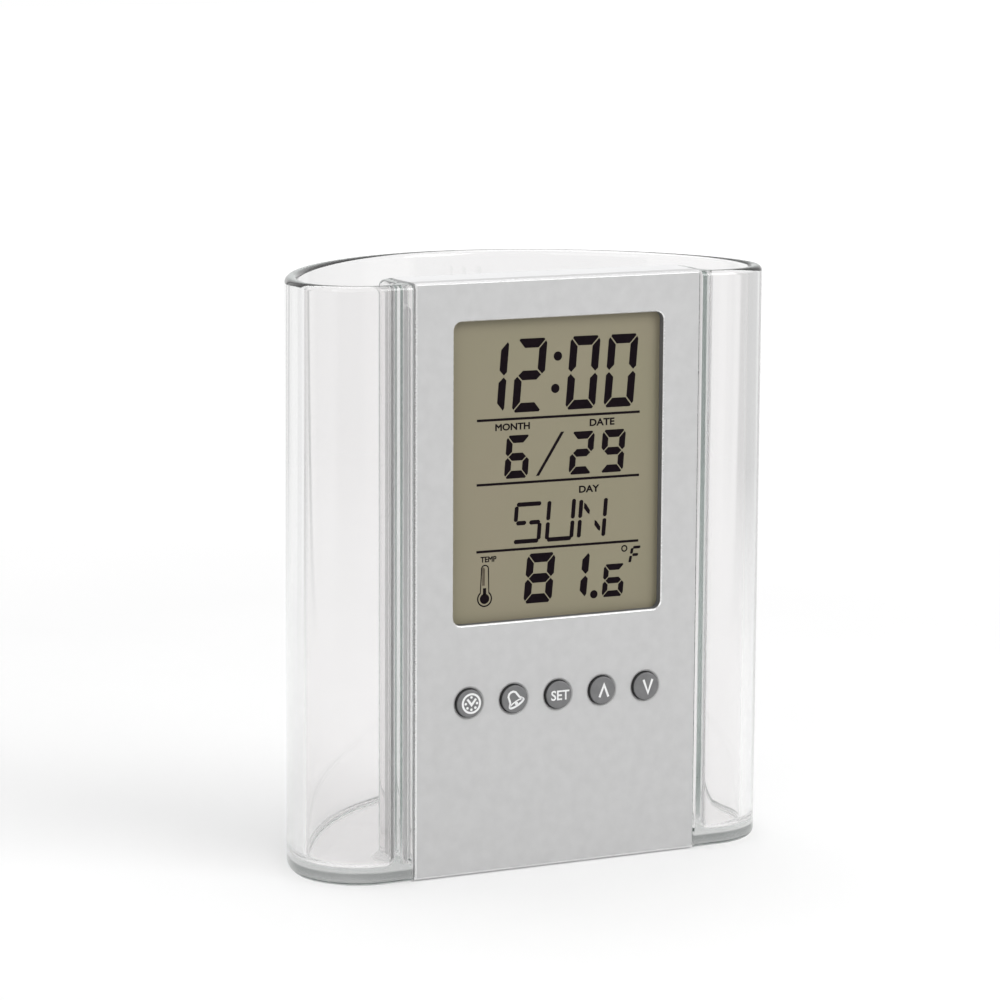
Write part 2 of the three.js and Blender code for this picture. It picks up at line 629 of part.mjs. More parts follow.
// A tube inside the case that carries one case screw to the panel's boss.
function screwTube([x, z]) {
  const tubeFront = BOSS_MEET + PARTING_GAP;
  const headRadius = SCREW_HEAD / 2 + SCREW_GAP;
  const tube = post(x, z, headRadius + TUBE_WALL, tubeFront, MODULE_DEPTH - STACK_GAP);
  const bore = post(x, z, SCREW_SHANK / 2 + SCREW_GAP, tubeFront - OVERRUN, MODULE_DEPTH + OVERRUN);
  const seat = MODULE_DEPTH - CASE_SCREW_SINK - SCREW_HEAD_HEIGHT;
  const counterbore = post(x, z, headRadius, seat, MODULE_DEPTH + OVERRUN);
  return { tube, cuts: [bore, counterbore] };
}

// A row of upright slots through the back wall.
function vents(x, z, count, length) {
  const radius = VENT_WIDTH / 2;
  return Array.from({ length: count }, (unused, index) => {
    const middle = x + (index - (count - 1) / 2) * VENT_PITCH;
    const shape = rectangle(middle - radius, z - length / 2, middle + radius, z + length / 2, radius);
    return plate(shape, CASE_INSIDE - OVERRUN, MODULE_DEPTH + OVERRUN);
  });
}

// A ring on the inside of the back wall that the buzzer disc is glued to.
function buzzerSeat() {
  const front = CASE_INSIDE - BUZZER_RIB;
  const outer = post(0, BUZZER_CENTRE, BUZZER_DIAMETER / 2, front, CASE_INSIDE + STACK_GAP, ROUND_SIDES);
  const bore = BUZZER_DIAMETER / 2 - RIB_THICKNESS;
  const inner = post(0, BUZZER_CENTRE, bore, front - OVERRUN, CASE_INSIDE, ROUND_SIDES);
  return outer.subtract(inner);
}

// An upright rib near a top corner that holds the board against the display frame.
function boardRib(side) {
  const outside = BOARD_WIDTH / 2 - BOARD_CORNER;
  const inside = outside - RIB_THICKNESS;
  const left = Math.min(side * inside, side * outside);
  const right = Math.max(side * inside, side * outside);
  const bottom = FRAME_TOP - RIB_LENGTH;
  return slab(left, right, BOARD_BACK + STACK_GAP, CASE_INSIDE + STACK_GAP, bottom, FRAME_TOP);
}

function buildCase() {
  const inside = PANEL_WIDTH / 2 - SHELL_WALL;
  const outer = column(casePlan(), CASE_BOTTOM, PANEL_TOP);
  const hollowPlan = rectangle(-inside, FRONT + CASE_FRONT - OVERRUN, inside, FRONT + CASE_INSIDE);
  const hollow = column(hollowPlan, CASE_BOTTOM + SHELL_WALL, PANEL_TOP - SHELL_WALL);
  const bay = batteryBay();
  const tubes = caseScrewPlaces().map(screwTube);
  const sides = [-1, 1].flatMap((side) => [caseTongue(side), locatingLip(side), boardRib(side)]);
  const screwTubes = tubes.map(({ tube }) => tube);
  const body = joined([outer.subtract(hollow), bay.block, buzzerSeat(), ...sides, ...screwTubes]);
  const soundVents = vents(0, BUZZER_CENTRE, VENT_COUNT, VENT_LENGTH);
  const [sensorX, sensorZ] = thermistorPlace();
  const sensorVents = vents(sensorX, sensorZ, SENSOR_VENT_COUNT, SENSOR_VENT_LENGTH);
  const cuts = [...bay.cuts, ...tubes.flatMap((tube) => tube.cuts), ...soundVents, ...sensorVents];
  addPart("rear_case", cut(body, cuts), "casing");
}

// The display: two sheets of glass with a film on each outer face.
function buildDisplay() {
  const filmWidth = GLASS_WIDTH - 2 * FILM_INSET;
  const film = centred(WINDOW_CENTRE, filmWidth, REAR_GLASS_HEIGHT);
  const frontGlass = centred(WINDOW_CENTRE, GLASS_WIDTH, FRONT_GLASS_HEIGHT);
  const rearGlass = centred(WINDOW_CENTRE, GLASS_WIDTH, REAR_GLASS_HEIGHT);
  const layer = (name, shape, front, thickness, material) => {
    addPart(name, plate(shape, front, front + thickness), material);
  };
  layer("lcd_front_film", film, FILM_FRONT, FILM_THICKNESS, "film");
  layer("lcd_front_glass", frontGlass, FRONT_GLASS_FRONT, GLASS_THICKNESS, "glass");
  layer("lcd_rear_glass", rearGlass, REAR_GLASS_FRONT, GLASS_THICKNESS, "glass");
  layer("lcd_reflector", film, REFLECTOR_FRONT, FILM_THICKNESS, "film");
}

// The rubber contact strips that join the glass ledges to the board.
function buildZebraStrips() {
  const length = GLASS_WIDTH - 2 * ZEBRA_END_MARGIN;
  const drop = (REAR_GLASS_HEIGHT + GLASS_LEDGE) / 2;
  for (const [name, side] of [["zebra_strip_upper", 1], ["zebra_strip_lower", -1]]) {
    const shape = centred(WINDOW_CENTRE + side * drop, length, ZEBRA_WIDTH);
    addPart(name, plate(shape, REAR_GLASS_FRONT, BOARD_FRONT - STACK_GAP), "zebra");
  }
}

// The four legs of the display frame in X and Z.
function frameLegPlaces() {
  const x = GLASS_WIDTH / 2 + SCREW_GAP + FRAME_WALL / 2;
  const rise = FRAME_LEG_SPREAD / 2;
  return [-1, 1].flatMap((side) => [[side * x, WINDOW_CENTRE - rise], [side * x, WINDOW_CENTRE + rise]]);
}

function legBlock([x, z], margin, front, back) {
  const across = FRAME_LEG_THICKNESS / 2 + margin;
  const tall = FRAME_LEG_WIDTH / 2 + margin;
  return slab(x - across, x + across, front, back, z - tall, z + tall);
}

// The frame that holds the glass on the board, its legs staked behind the board.
function buildDisplayFrame() {
  const opening = GLASS_WIDTH + 2 * SCREW_GAP;
  const width = opening + 2 * FRAME_WALL;
  const back = BOARD_FRONT - STACK_GAP;
  const outer = plate(centred(WINDOW_CENTRE, width, FRAME_TOP - FRAME_BOTTOM), FRONT_GLASS_FRONT, back);
  const tall = FRONT_GLASS_HEIGHT + 2 * SCREW_GAP;
  const inner = plate(centred(WINDOW_CENTRE, opening, tall), FRONT_GLASS_FRONT - OVERRUN, back + OVERRUN);
  const headFront = BOARD_BACK + STACK_GAP;
  const headBack = headFront + FRAME_LEG_HEAD;
  const legs = frameLegPlaces().map((place) => legBlock(place, 0, back - STACK_GAP, headBack));
  const heads = frameLegPlaces().map((place) => legBlock(place, FRAME_LEG_HEAD, headFront, headBack));
  addPart("lcd_frame", joined([outer.subtract(inner), ...legs, ...heads]), "white");
}

function buildBoard() {
  const half = BOARD_WIDTH / 2;
  const outline = rectangle(-half, BOARD_BOTTOM, half, FRAME_TOP, BOARD_CORNER);
  const board = plate(outline, BOARD_FRONT, BOARD_BACK);
  const from = BOARD_FRONT - OVERRUN;
  const to = BOARD_BACK + OVERRUN;
  const clear = BOSS_RADIUS + SLIDE_GAP;
  const upper = KEY_ROW + BOSS_ABOVE_KEYS;
  const notches = [-1, 1].flatMap((side) => {
    const left = Math.min(side * BOSS_SIDE, side * (half + OVERRUN));
    const right = Math.max(side * BOSS_SIDE, side * (half + OVERRUN));
    const round = post(side * BOSS_SIDE, upper, clear, from, to);
    return [round, slab(left, right, from, to, upper - clear, upper + clear)];
  });
  const holes = boardScrewPlaces().map(([x, z]) => post(x, z, SCREW_SHANK / 2 + SCREW_GAP, from, to));
  const slots = frameLegPlaces().map((place) => legBlock(place, SCREW_GAP, from, to));
  addPart("circuit_board", cut(board, [...notches, ...holes, ...slots]), "board");
}

// A dome on the back of the board, as heights and radii of a flat half ellipse.
function domeProfile(radius, height) {
  const start = BOARD_BACK + STACK_GAP;
  const dome = [[0, start], [radius, start]];
  const steps = 2 * ROUND_STEPS;
  for (let step = 1; step < steps; step += 1) {
    const angle = (step / steps) * (Math.PI / 2);
    dome.push([radius * Math.cos(angle), start + height * Math.sin(angle)]);
  }
  dome.push([0, start + height]);
  return dome;
}

function thermistorPlace() {
  return [CRYSTAL_OFFSET, FRAME_TOP - THERMISTOR_DROP];
}

function buildBoardParts() {
  const chip = domeProfile(CHIP_RADIUS, CHIP_HEIGHT);
  addPart("chip_blob", turned(0, WINDOW_CENTRE + CHIP_RISE, chip, ROUND_SIDES), "epoxy");
  const canBottom = WINDOW_CENTRE - CRYSTAL_LENGTH;
  const canDepth = BOARD_BACK + STACK_GAP + CRYSTAL_RADIUS;
  const can = circle(CRYSTAL_OFFSET, FRONT + canDepth, CRYSTAL_RADIUS);
  addPart("quartz_crystal", column(can, canBottom, canBottom + CRYSTAL_LENGTH, SMALL_SIDES / 2), "steel");
  const [x, z] = thermistorPlace();
  addPart("thermistor", turned(x, z, domeProfile(THERMISTOR_RADIUS, THERMISTOR_LENGTH)), "epoxy");
}

// One key: a crowned cap through the panel, a flange behind it and a contact pill.
function buildKey(name, index) {
  const radius = KEY_DIAMETER / 2;
  const flange = radius + KEY_FLANGE;
  const flangeFront = PANEL_THICKNESS + PARTING_GAP;
  const flangeBack = flangeFront + KEY_FLANGE_THICKNESS;
  const pill = KEY_PILL_DIAMETER / 2;
  const pillBack = BOARD_FRONT - PARTING_GAP - KEY_TRAVEL;
  const profile = [
    [0, -KEY_PROUD],
    [radius - 2 * KEY_CROWN, -KEY_PROUD + KEY_CROWN / 4],
    [radius - KEY_CROWN / 2, -KEY_PROUD + KEY_CROWN],
    [radius, -KEY_PROUD + 2 * KEY_CROWN],
    [radius, flangeFront],
    [flange, flangeFront],
    [flange, flangeBack],
    [pill, flangeBack],
    [pill, pillBack],
    [0, pillBack],
  ];
  addPart(name, turned(keyPlace(index), KEY_ROW, profile, ROUND_SIDES), "key");
}

// The rubber sheet behind the keys, with a collar round each pill.
function buildKeypadWeb() {
  const width = (KEY_COUNT - 1) * KEY_PITCH + 2 * WEB_SIDE_MARGIN;
  const back = BOARD_FRONT - STACK_GAP;
  const front = back - WEB_THICKNESS;
  const sheet = plate(centred(KEY_ROW, width, WEB_HEIGHT, BOARD_CORNER), front, back);
  const bore = KEY_PILL_DIAMETER / 2 + SLIDE_GAP;
  const collars = KEY_NAMES.map((name, index) => {
    return post(keyPlace(index), KEY_ROW, bore + WEB_COLLAR_WALL, front - WEB_COLLAR, back, SMALL_SIDES);
  });
  const holes = KEY_NAMES.map((name, index) => {
    return post(keyPlace(index), KEY_ROW, bore, front - OVERRUN, back + OVERRUN, SMALL_SIDES);
  });
  addPart("keypad_web", cut(joined([sheet, ...collars]), holes), "key");
}

// One button cell with its stepped rim.
function cellProfile(capAtFront) {
  const radius = CELL_DIAMETER / 2;
  const cap = radius - 2 * CELL_RIM_STEP;
  const back = CELL_FRONT + CELL_THICKNESS;
  if (capAtFront) {
    const step = CELL_FRONT + CELL_RIM_STEP;
    return [[0, CELL_FRONT], [cap, CELL_FRONT], [cap, step], [radius, step], [radius, back], [0, back]];
  }
  const step = back - CELL_RIM_STEP;
  return [[0, CELL_FRONT], [radius, CELL_FRONT], [radius, step], [cap, step], [cap, back], [0, back]];
}

// A spring leaf: a pad under the cell and a strip that climbs to the board.
function contactLeaf(side) {
  const middle = side * CELL_OFFSET;
  const bayTop = DOOR_TOP + SLIDE_GAP + SHELL_WALL;
  const foot = BOARD_FRONT - STACK_GAP - LEAF_THICKNESS;
  const tailBottom = BOARD_BOTTOM + STACK_GAP;
  const tailTop = tailBottom + LEAF_TAIL;
  const near = LEAF_FRONT;
  const far = LEAF_FRONT + LEAF_THICKNESS;
  const profile = [
    [near, CELL_CENTRE],
    [far, CELL_CENTRE],
    [far, bayTop],
    [foot + LEAF_THICKNESS, tailBottom],
    [foot + LEAF_THICKNESS, tailTop],
    [foot, tailTop],
    [foot, tailBottom],
    [near, bayTop],
  ];
  const strip = sideProfile(profile, middle - LEAF_WIDTH / 2, middle + LEAF_WIDTH / 2);
  return strip.add(post(middle, CELL_CENTRE, LEAF_PAD / 2, near, far));
}

function buildBattery() {
  for (const [name, side] of [["battery_cell_left", -1], ["battery_cell_right", 1]]) {
    addPart(name, turned(side * CELL_OFFSET, CELL_CENTRE, cellProfile(side < 0), ROUND_SIDES), "steel");
  }
  addPart("battery_contact_negative", contactLeaf(-1), "brass");
  addPart("battery_contact_positive", contactLeaf(1), "brass");
  const bridge = centred(CELL_CENTRE, 2 * (CELL_OFFSET + BRIDGE_REACH), BRIDGE_HEIGHT);
  addPart("battery_bridge", plate(bridge, BRIDGE_FRONT, BRIDGE_FRONT + LEAF_THICKNESS), "brass");
}

// The battery door with its side tongues and thumb grip.
function buildDoor() {
  const half = DOOR_WIDTH / 2;
  const side = half + DOOR_TONGUE;
  const cover = slab(-half, half, DOOR_FRONT, MODULE_DEPTH, DOOR_BOTTOM, DOOR_TOP);
  const tongueBack = DOOR_FRONT + DOOR_TONGUE_THICKNESS;
  const tongues = DOOR_TONGUE_BOTTOMS.map((bottom) => {
    return slab(-side, side, DOOR_FRONT, tongueBack, bottom, bottom + DOOR_TONGUE_HEIGHT);
  });
  const grips = Array.from({ length: GRIP_COUNT }, (unused, index) => {
    const bottom = DOOR_BOTTOM + GRIP_PITCH * (index + 1);
    const top = bottom + GRIP_PITCH / 2;
    const reach = GRIP_WIDTH / 2;
    return slab(-reach, reach, MODULE_DEPTH - GRIP_DEPTH, MODULE_DEPTH + OVERRUN, bottom, top);
  });
  addPart("battery_door", cut(cover.add(tongues[0]).add(tongues[1]), grips), "casing");
}

// A cross-slotted screw whose head faces back, from the head's seat to the tip.
function screw([x, z], seat, tip) {
  const shank = SCREW_SHANK / 2;
  const head = SCREW_HEAD / 2;
  const back = seat + SCREW_HEAD_HEIGHT;
  const profile = [
    [0, tip],
    [shank / 2, tip],
    [shank, tip + shank],
    [shank, seat],
    [head, seat],
    [head, back - SCREW_GAP],
    [head - SCREW_GAP, back],
    [0, back],
  ];
  const blade = SCREW_SLOT / 2;
  const reach = SCREW_SLOT_LENGTH / 2;
  const slotFront = back - SCREW_SLOT;
  const slots = [
    slab(x - blade, x + blade, slotFront, back + OVERRUN, z - reach, z + reach),
    slab(x - reach, x + reach, slotFront, back + OVERRUN, z - blade, z + blade),
  ];
  return cut(turned(x, z, profile), slots);
}

function buildScrews() {
  const caseSeat = MODULE_DEPTH - CASE_SCREW_SINK - SCREW_HEAD_HEIGHT + STACK_GAP;
  caseScrewPlaces().forEach((place, index) => {
    addPart(`case_screw_${index + 1}`, screw(place, caseSeat, BOSS_MEET - CASE_SCREW_BITE), "steel");
  });
  const boardSeat = BOARD_BACK + STACK_GAP;
  boardScrewPlaces().forEach((place, index) => {
    addPart(`board_screw_${index + 1}`, screw(place, boardSeat, BOARD_FRONT - BOARD_SCREW_BITE), "steel");
  });
}

// The buzzer: a brass disc with a ceramic disc on it, glued to the ring in the case.
function buildBuzzer() {
  const back = CASE_INSIDE - BUZZER_RIB - STACK_GAP;
  const middle = back - BUZZER_LAYER;
  const front = middle - BUZZER_LAYER;
  const brass = BUZZER_DIAMETER / 2;
  const ceramic = BUZZER_CERAMIC / 2;
  const ceramicProfile = [[0, front], [ceramic, front], [ceramic, middle]];
  const profile = [...ceramicProfile, [brass, middle], [brass, back], [0, back]];
  addPart("buzzer_disc", turned(0, BUZZER_CENTRE, profile, ROUND_SIDES), "brass");
  buildBuzzerWire("buzzer_wire_red", -1, front, "red");
  buildBuzzerWire("buzzer_wire_black", 1, front, "black");
}

// A lead from the face of the buzzer down to the back of the board.
function buildBuzzerWire(name, side, buzzerFront, material) {
  const radius = WIRE_DIAMETER / 2;
  const start = FRONT + buzzerFront - radius - STACK_GAP;
  const end = FRONT + BOARD_BACK + radius + STACK_GAP;
  const top = BUZZER_CENTRE - WIRE_SPREAD;
  const route = new THREE.CatmullRomCurve3([
    new THREE.Vector3(side * WIRE_SPREAD, start, top),
    new THREE.Vector3(side * WIRE_SPREAD, start, top - WIRE_SAG),
    new THREE.Vector3(side * 2 * WIRE_SPREAD, (start + end) / 2, top - 2 * WIRE_SAG),
    new THREE.Vector3(side * WIRE_SPREAD, end, top - 3 * WIRE_SAG),
  ]);
  const curveSegments = WIRE_SIDES / 2;
  const options = { steps: WIRE_STEPS, bevelEnabled: false, extrudePath: route, curveSegments };
  addPart(name, toSolid(new THREE.ExtrudeGeometry(circle(0, 0, radius), options)), material);
}

buildCup();
buildPanel();
buildCase();
buildDisplay();
buildZebraStrips();
buildDisplayFrame();
buildBoard();
buildBoardParts();
KEY_NAMES.forEach(buildKey);
buildKeypadWeb();
buildBattery();
buildDoor();
buildScrews();
buildBuzzer();

export default model;
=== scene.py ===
"""Studio scene of a clear pen holder cup with a clock module in its front pocket.

Lengths in the classes are millimetres, heights are above the table, and depths run back
from the flat front of the cup. Finished meshes are in metres, in the frame's own place.
"""

import logging
import math
from dataclasses import dataclass, replace
from enum import Enum
from functools import cache
from typing import Callable, Iterable, Sequence

import bmesh
import bpy
from mathutils import Matrix, Vector


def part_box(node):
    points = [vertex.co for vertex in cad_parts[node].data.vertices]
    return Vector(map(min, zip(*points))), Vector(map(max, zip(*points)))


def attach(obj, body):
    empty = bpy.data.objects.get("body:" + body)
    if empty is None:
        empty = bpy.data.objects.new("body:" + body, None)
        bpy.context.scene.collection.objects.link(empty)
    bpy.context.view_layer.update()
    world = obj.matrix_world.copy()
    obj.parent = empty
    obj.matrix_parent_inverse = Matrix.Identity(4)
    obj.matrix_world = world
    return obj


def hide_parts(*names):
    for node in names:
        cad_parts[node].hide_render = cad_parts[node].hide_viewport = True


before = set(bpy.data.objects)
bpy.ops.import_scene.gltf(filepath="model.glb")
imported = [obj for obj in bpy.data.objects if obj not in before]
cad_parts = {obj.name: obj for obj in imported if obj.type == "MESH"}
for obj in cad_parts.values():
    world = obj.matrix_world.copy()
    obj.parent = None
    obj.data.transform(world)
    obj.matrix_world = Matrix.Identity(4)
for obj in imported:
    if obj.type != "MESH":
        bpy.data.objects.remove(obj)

Point = tuple[float, float]
Triple = tuple[float, float, float]
Outline = Sequence[Point]
Ring = Sequence[bmesh.types.BMVert]
FigureRow = tuple[tuple[str, float], ...]
Thing = bpy.types.Object
Socket = bpy.types.NodeSocket

MM = 0.001
FRONT_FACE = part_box("clear_cup")[0].y / MM
NOISE_MIDDLE = (0.3, 0.7)
WELD_DISTANCE = 1e-6
FLAT_ANGLE = 0.5
EDGE_SEGMENTS = 2
WHITE = (1, 1, 1, 1)
LOG = logging.getLogger("pen_holder_clock")


def place(across: float, depth: float, height: float) -> Vector:
    """Gives a place in metres from distances to the right, behind the cup's front and up, in mm."""
    return Vector((across * MM, (FRONT_FACE + depth) * MM, height * MM))


def grey(level: float) -> Triple:
    """Gives a plain grey."""
    return level, level, level


def arc(middle: Point, radius: float, start: float, end: float, steps: int) -> list[Point]:
    """Gives points along an arc.

    Args:
        middle: Centre of the arc.
        radius: Radius in mm.
        start: First angle in degrees.
        end: Last angle in degrees.
        steps: Number of stretches between the points.

    Returns:
        The points, the first and the last among them.
    """
    points = []
    for step in range(steps + 1):
        angle = math.radians(start + (end - start) * step / steps)
        points.append((middle[0] + radius * math.cos(angle), middle[1] + radius * math.sin(angle)))
    return points


def circle(middle: Point, radius: float, steps: int = 32) -> list[Point]:
    """Gives the distinct points of a full circle."""
    return arc(middle, radius, 0, 360, steps)[:-1]


def bezier(ends: Outline, steps: int) -> list[Point]:
    """Gives points along a cubic curve.

    Args:
        ends: Start, the two handles and the end.
        steps: Number of stretches between the points.

    Returns:
        The points after the start, up to the end.
    """
    points = []
    for step in range(1, steps + 1):
        t = step / steps
        weights = ((1 - t) ** 3, 3 * t * (1 - t) ** 2, 3 * t * t * (1 - t), t**3)
        x, y = (sum(w * end[axis] for w, end in zip(weights, ends)) for axis in (0, 1))
        points.append((x, y))
    return points


def show(name: str, data: bpy.types.ID) -> Thing:
    """Puts data into the scene as an object.

    Args:
        name: Name of the object.
        data: Its mesh, text, lamp or camera.

    Returns:
        The object.
    """
    made = bpy.data.objects.new(name, data)
    bpy.context.scene.collection.objects.link(made)
    return made


class Piece:
    """One mesh in the making, drawn with rings, prisms and hoops."""

    def __init__(self, name: str) -> None:
        """Starts an empty piece by the name of its finished object."""
        self.name = name
        self.mesh = bmesh.new()

    def ring(self, points: Iterable[Vector]) -> Ring:
        """Adds the corners of one ring and gives them back."""
        return [self.mesh.verts.new(point) for point in points]

    def cap(self, ring: Ring) -> None:
        """Closes a ring with one face."""
        self.mesh.faces.new(ring)

    def bridge(self, first: Ring, second: Ring) -> None:
        """Joins two rings of as many corners with a band of faces.

        Args:
            first: Corners of one ring.
            second: Corners of the other ring.
        """
        count = len(first)
        for index in range(count):
            after = (index + 1) % count
            self.mesh.faces.new((first[index], first[after], second[after], second[index]))

    def loft(self, rings: Sequence[Sequence[Vector]], loop: bool = False) -> "Piece":
        """Adds a closed body through rings of as many corners.

        Args:
            rings: The rings in order.
            loop: Whether the last ring joins the first, or else both are capped.

        Returns:
            This piece.
        """
        made = [self.ring(points) for points in rings]
        for first, second in zip(made, made[1:]):
            self.bridge(first, second)
        if loop:
            self.bridge(made[-1], made[0])
        else:
            self.cap(made[0])
            self.cap(made[-1])
        return self

    def prism(self, outline: Outline, front: float, back: float) -> "Piece":
        """Adds a body between two depths whose outline is drawn as seen from the front."""
        return self.loft([[place(x, depth, z) for x, z in outline] for depth in (front, back)])

    def hoop(self, outer: Outline, inner: Outline, front: float, back: float) -> None:
        """Adds a band between two outlines of as many corners and between two depths."""
        corners = ((outer, front), (outer, back), (inner, back), (inner, front))
        self.loft([[place(x, depth, z) for x, z in outline] for outline, depth in corners], True)

    def lathe(self, middle: Point, profile: Outline, sides: int) -> None:
        """Adds a round body whose axis runs straight back.

        Args:
            middle: Place across and height of the axis.
            profile: Radii and depths from the axis in front to the axis behind.
            sides: Number of sides.
        """
        rings = []
        for radius, depth in profile[1:-1]:
            rings.append(self.ring(place(x, depth, z) for x, z in circle(middle, radius, sides)))
        for first, second in zip(rings, rings[1:]):
            self.bridge(first, second)
        for made, (_, depth) in ((rings[0], profile[0]), (rings[-1], profile[-1])):
            tip = self.mesh.verts.new(place(middle[0], depth, middle[1]))
            for index, corner in enumerate(made):
                self.mesh.faces.new((tip, corner, made[(index + 1) % len(made)]))

    def done(self) -> Thing:
        """Turns the drawing into an object in the scene.

        Returns:
            The new object.
        """
        bmesh.ops.recalc_face_normals(self.mesh, faces=self.mesh.faces)
        data = bpy.data.meshes.new(self.name)
        self.mesh.to_mesh(data)
        self.mesh.free()
        return show(self.name, data)


def settle(piece: Thing) -> None:
    """Turns a piece's modifiers into plain mesh.

    Args:
        piece: The piece.
    """
    shown = piece.evaluated_get(bpy.context.evaluated_depsgraph_get())
    data = bpy.data.meshes.new_from_object(shown)
    piece.modifiers.clear()
    piece.data = data


def carve(piece: Thing, tools: Sequence[Thing]) -> None:
    """Cuts tools out of a piece and takes the tools away.

    Args:
        piece: The piece to cut.
        tools: Closed bodies to cut with.
    """
    for tool in tools:
        cut = piece.modifiers.new("cut", "BOOLEAN")
        cut.operation = "DIFFERENCE"
        cut.solver = "EXACT"
        cut.object = tool
    settle(piece)
    for tool in tools:
        bpy.data.objects.remove(tool)


def soften(piece: Thing, width: float, sharp: float = 40) -> None:
    """Rounds the sharp edges of a piece a little and smooths the rest.

    Args:
        piece: The piece, whose own mesh stays as it is.
        width: Width of the rounding in mm.
        sharp: Angle in degrees from which an edge is rounded.
    """
    weld = piece.modifiers.new("weld", "WELD")
    weld.merge_threshold = WELD_DISTANCE
    flat = piece.modifiers.new("flat", "DECIMATE")
    flat.decimate_type = "DISSOLVE"
    flat.angle_limit = math.radians(FLAT_ANGLE)
    edge = piece.modifiers.new("edge", "BEVEL")
    edge.width = width * MM
    edge.segments = EDGE_SEGMENTS
    edge.limit_method = "ANGLE"
    edge.angle_limit = math.radians(sharp)
    edge.use_clamp_overlap = True
    normals = piece.modifiers.new("normals", "WEIGHTED_NORMAL")
    normals.keep_sharp = True
    piece.data.polygons.foreach_set("use_smooth", [True] * len(piece.data.polygons))
    piece.data.set_sharp_from_angle(angle=math.radians(sharp))


class Tree:
    """Short calls that lay out the nodes of one node tree."""

    def __init__(self, tree: bpy.types.NodeTree) -> None:
        """Keeps the node tree to lay out."""
        self.tree = tree

    def add(self, kind: str, **inputs: object) -> bpy.types.Node:
        """Adds a node and sets its inputs by name, spaces written as underscores.

        Args:
            kind: Blender's name of the node type.
            **inputs: Values or output sockets for the node's inputs.

        Returns:
            The new node.
        """
        node = self.tree.nodes.new(kind)
        for key, value in inputs.items():
            self.feed(node.inputs[key.replace("_", " ")], value)
        return node

    def feed(self, socket: Socket, value: object) -> None:
        """Links a socket to an output, or sets its value.

        Args:
            socket: The input socket.
            value: An output socket or a plain value.
        """
        if isinstance(value, Socket):
            self.tree.links.new(value, socket)
        else:
            socket.default_value = value

    def join(self, kind: str, *values: object, operation: str = "") -> Socket:
        """Adds a node and feeds its inputs in order.

        Args:
            kind: Blender's name of the node type.
            *values: Plain values or outputs.
            operation: The node's operation, if it has one.

        Returns:
            The node's first output.
        """
        node = self.add(kind)
        if operation:
            node.operation = operation
        for socket, value in zip(node.inputs, values):
            self.feed(socket, value)
        return node.outputs[0]

    def sum(self, operation: str, *values: object) -> Socket:
        """Gives the result of a sum on one or two values."""
        return self.join("ShaderNodeMath", *values, operation=operation)

    def stretch(self, value: Socket, source: Point, target: Point) -> Socket:
        """Maps the source span of values to the target span and keeps to its ends."""
        return self.join("ShaderNodeMapRange", value, *source, *target)

    def mix(self, share: object, first: object, second: object) -> Socket:
        """Gives a colour that goes from the first to the second as share goes from 0 to 1.

        Args:
            share: Share of the second colour.
            first: The first colour.
            second: The second colour.

        Returns:
            The colour.
        """
        node = self.add("ShaderNodeMix")
        node.data_type = "RGBA"
        sockets = {socket.identifier: socket for socket in (*node.inputs, *node.outputs)}
        for name, value in (("Factor_Float", share), ("A_Color", first), ("B_Color", second)):
            self.feed(sockets[name], value)
        return sockets["Result_Color"]

    def ramp(self, value: Socket, stops: Outline) -> Socket:
        """Gives a grey that runs through stops.

        Args:
            value: The place along the ramp, from 0 to 1.
            stops: Places and their brightness.

        Returns:
            The grey.
        """
        node = self.add("ShaderNodeValToRGB", Fac=value)
        elements = node.color_ramp.elements
        while len(elements) < len(stops):
            elements.new(1)
        for element, (position, level) in zip(elements, stops):
            element.position = position
            element.color = (*grey(level), 1)
        return node.outputs["Color"]


class Nodes(Tree):
    """The node tree of one material with one Principled shader."""

    def __init__(self, name: str) -> None:
        """Starts the material.

        Args:
            name: Name of the material.
        """
        self.material = bpy.data.materials.new(name)
        self.material.use_nodes = True
        super().__init__(self.material.node_tree)
        self.shader = self.tree.nodes["Principled BSDF"]
        self.output = self.tree.nodes["Material Output"]
        self.places = self.add("ShaderNodeTexCoord").outputs["Object"]

    def set(self, **inputs: object) -> None:
        """Sets the Principled shader's inputs by name."""
        for key, value in inputs.items():
            self.feed(self.shader.inputs[key.replace("_", " ")], value)

    def surface(self, shader: Socket) -> None:
        """Makes a shader the material's surface."""
        self.feed(self.output.inputs["Surface"], shader)

    def noise(self, size: float, detail: float = 3, stretch: Triple = (1, 1, 1)) -> Socket:
        """Gives a noise between 0 and 1 whose blots are about the given size.

        Args:
            size: Size of the blots in mm.
            detail: Number of finer layers.
            stretch: How much closer the blots lie along each axis.

        Returns:
            The noise's output.
        """
        mapping = self.add("ShaderNodeMapping", Vector=self.places, Scale=stretch)
        noise = self.add("ShaderNodeTexNoise", Vector=mapping.outputs[0], Detail=detail)
        self.feed(noise.inputs["Scale"], 1 / (size * MM))
        return noise.outputs["Fac"]

    def spread(self, value: Socket, low: float, high: float) -> Socket:
        """Spreads the middle of a noise between two values."""
        return self.stretch(value, NOISE_MIDDLE, (low, high))

    def blend(self, share: Socket, first: Triple, second: Triple) -> Socket:
        """Gives a colour between two plain colours."""
        return self.mix(share, (*first, 1), (*second, 1))

    def relief(self, height: Socket, depth: float) -> None:
        """Gives the shader a relief as deep as depth in mm, by a height from 0 to 1."""
        bump = self.add("ShaderNodeBump", Height=height, Distance=depth * MM, Strength=1)
        self.feed(self.shader.inputs["Normal"], bump.outputs[0])


@dataclass(frozen=True)
class Finish:
    """A finish that pieces can wear."""

    name: str = "finish"

    def lay(self, nodes: Nodes) -> None:
        """Lays out the nodes of this finish."""

    @cache
    def material(self) -> bpy.types.Material:
        """Gives the finish's material, made once.

        Returns:
            The material.
        """
        nodes = Nodes(self.name)
        self.lay(nodes)
        return nodes.material


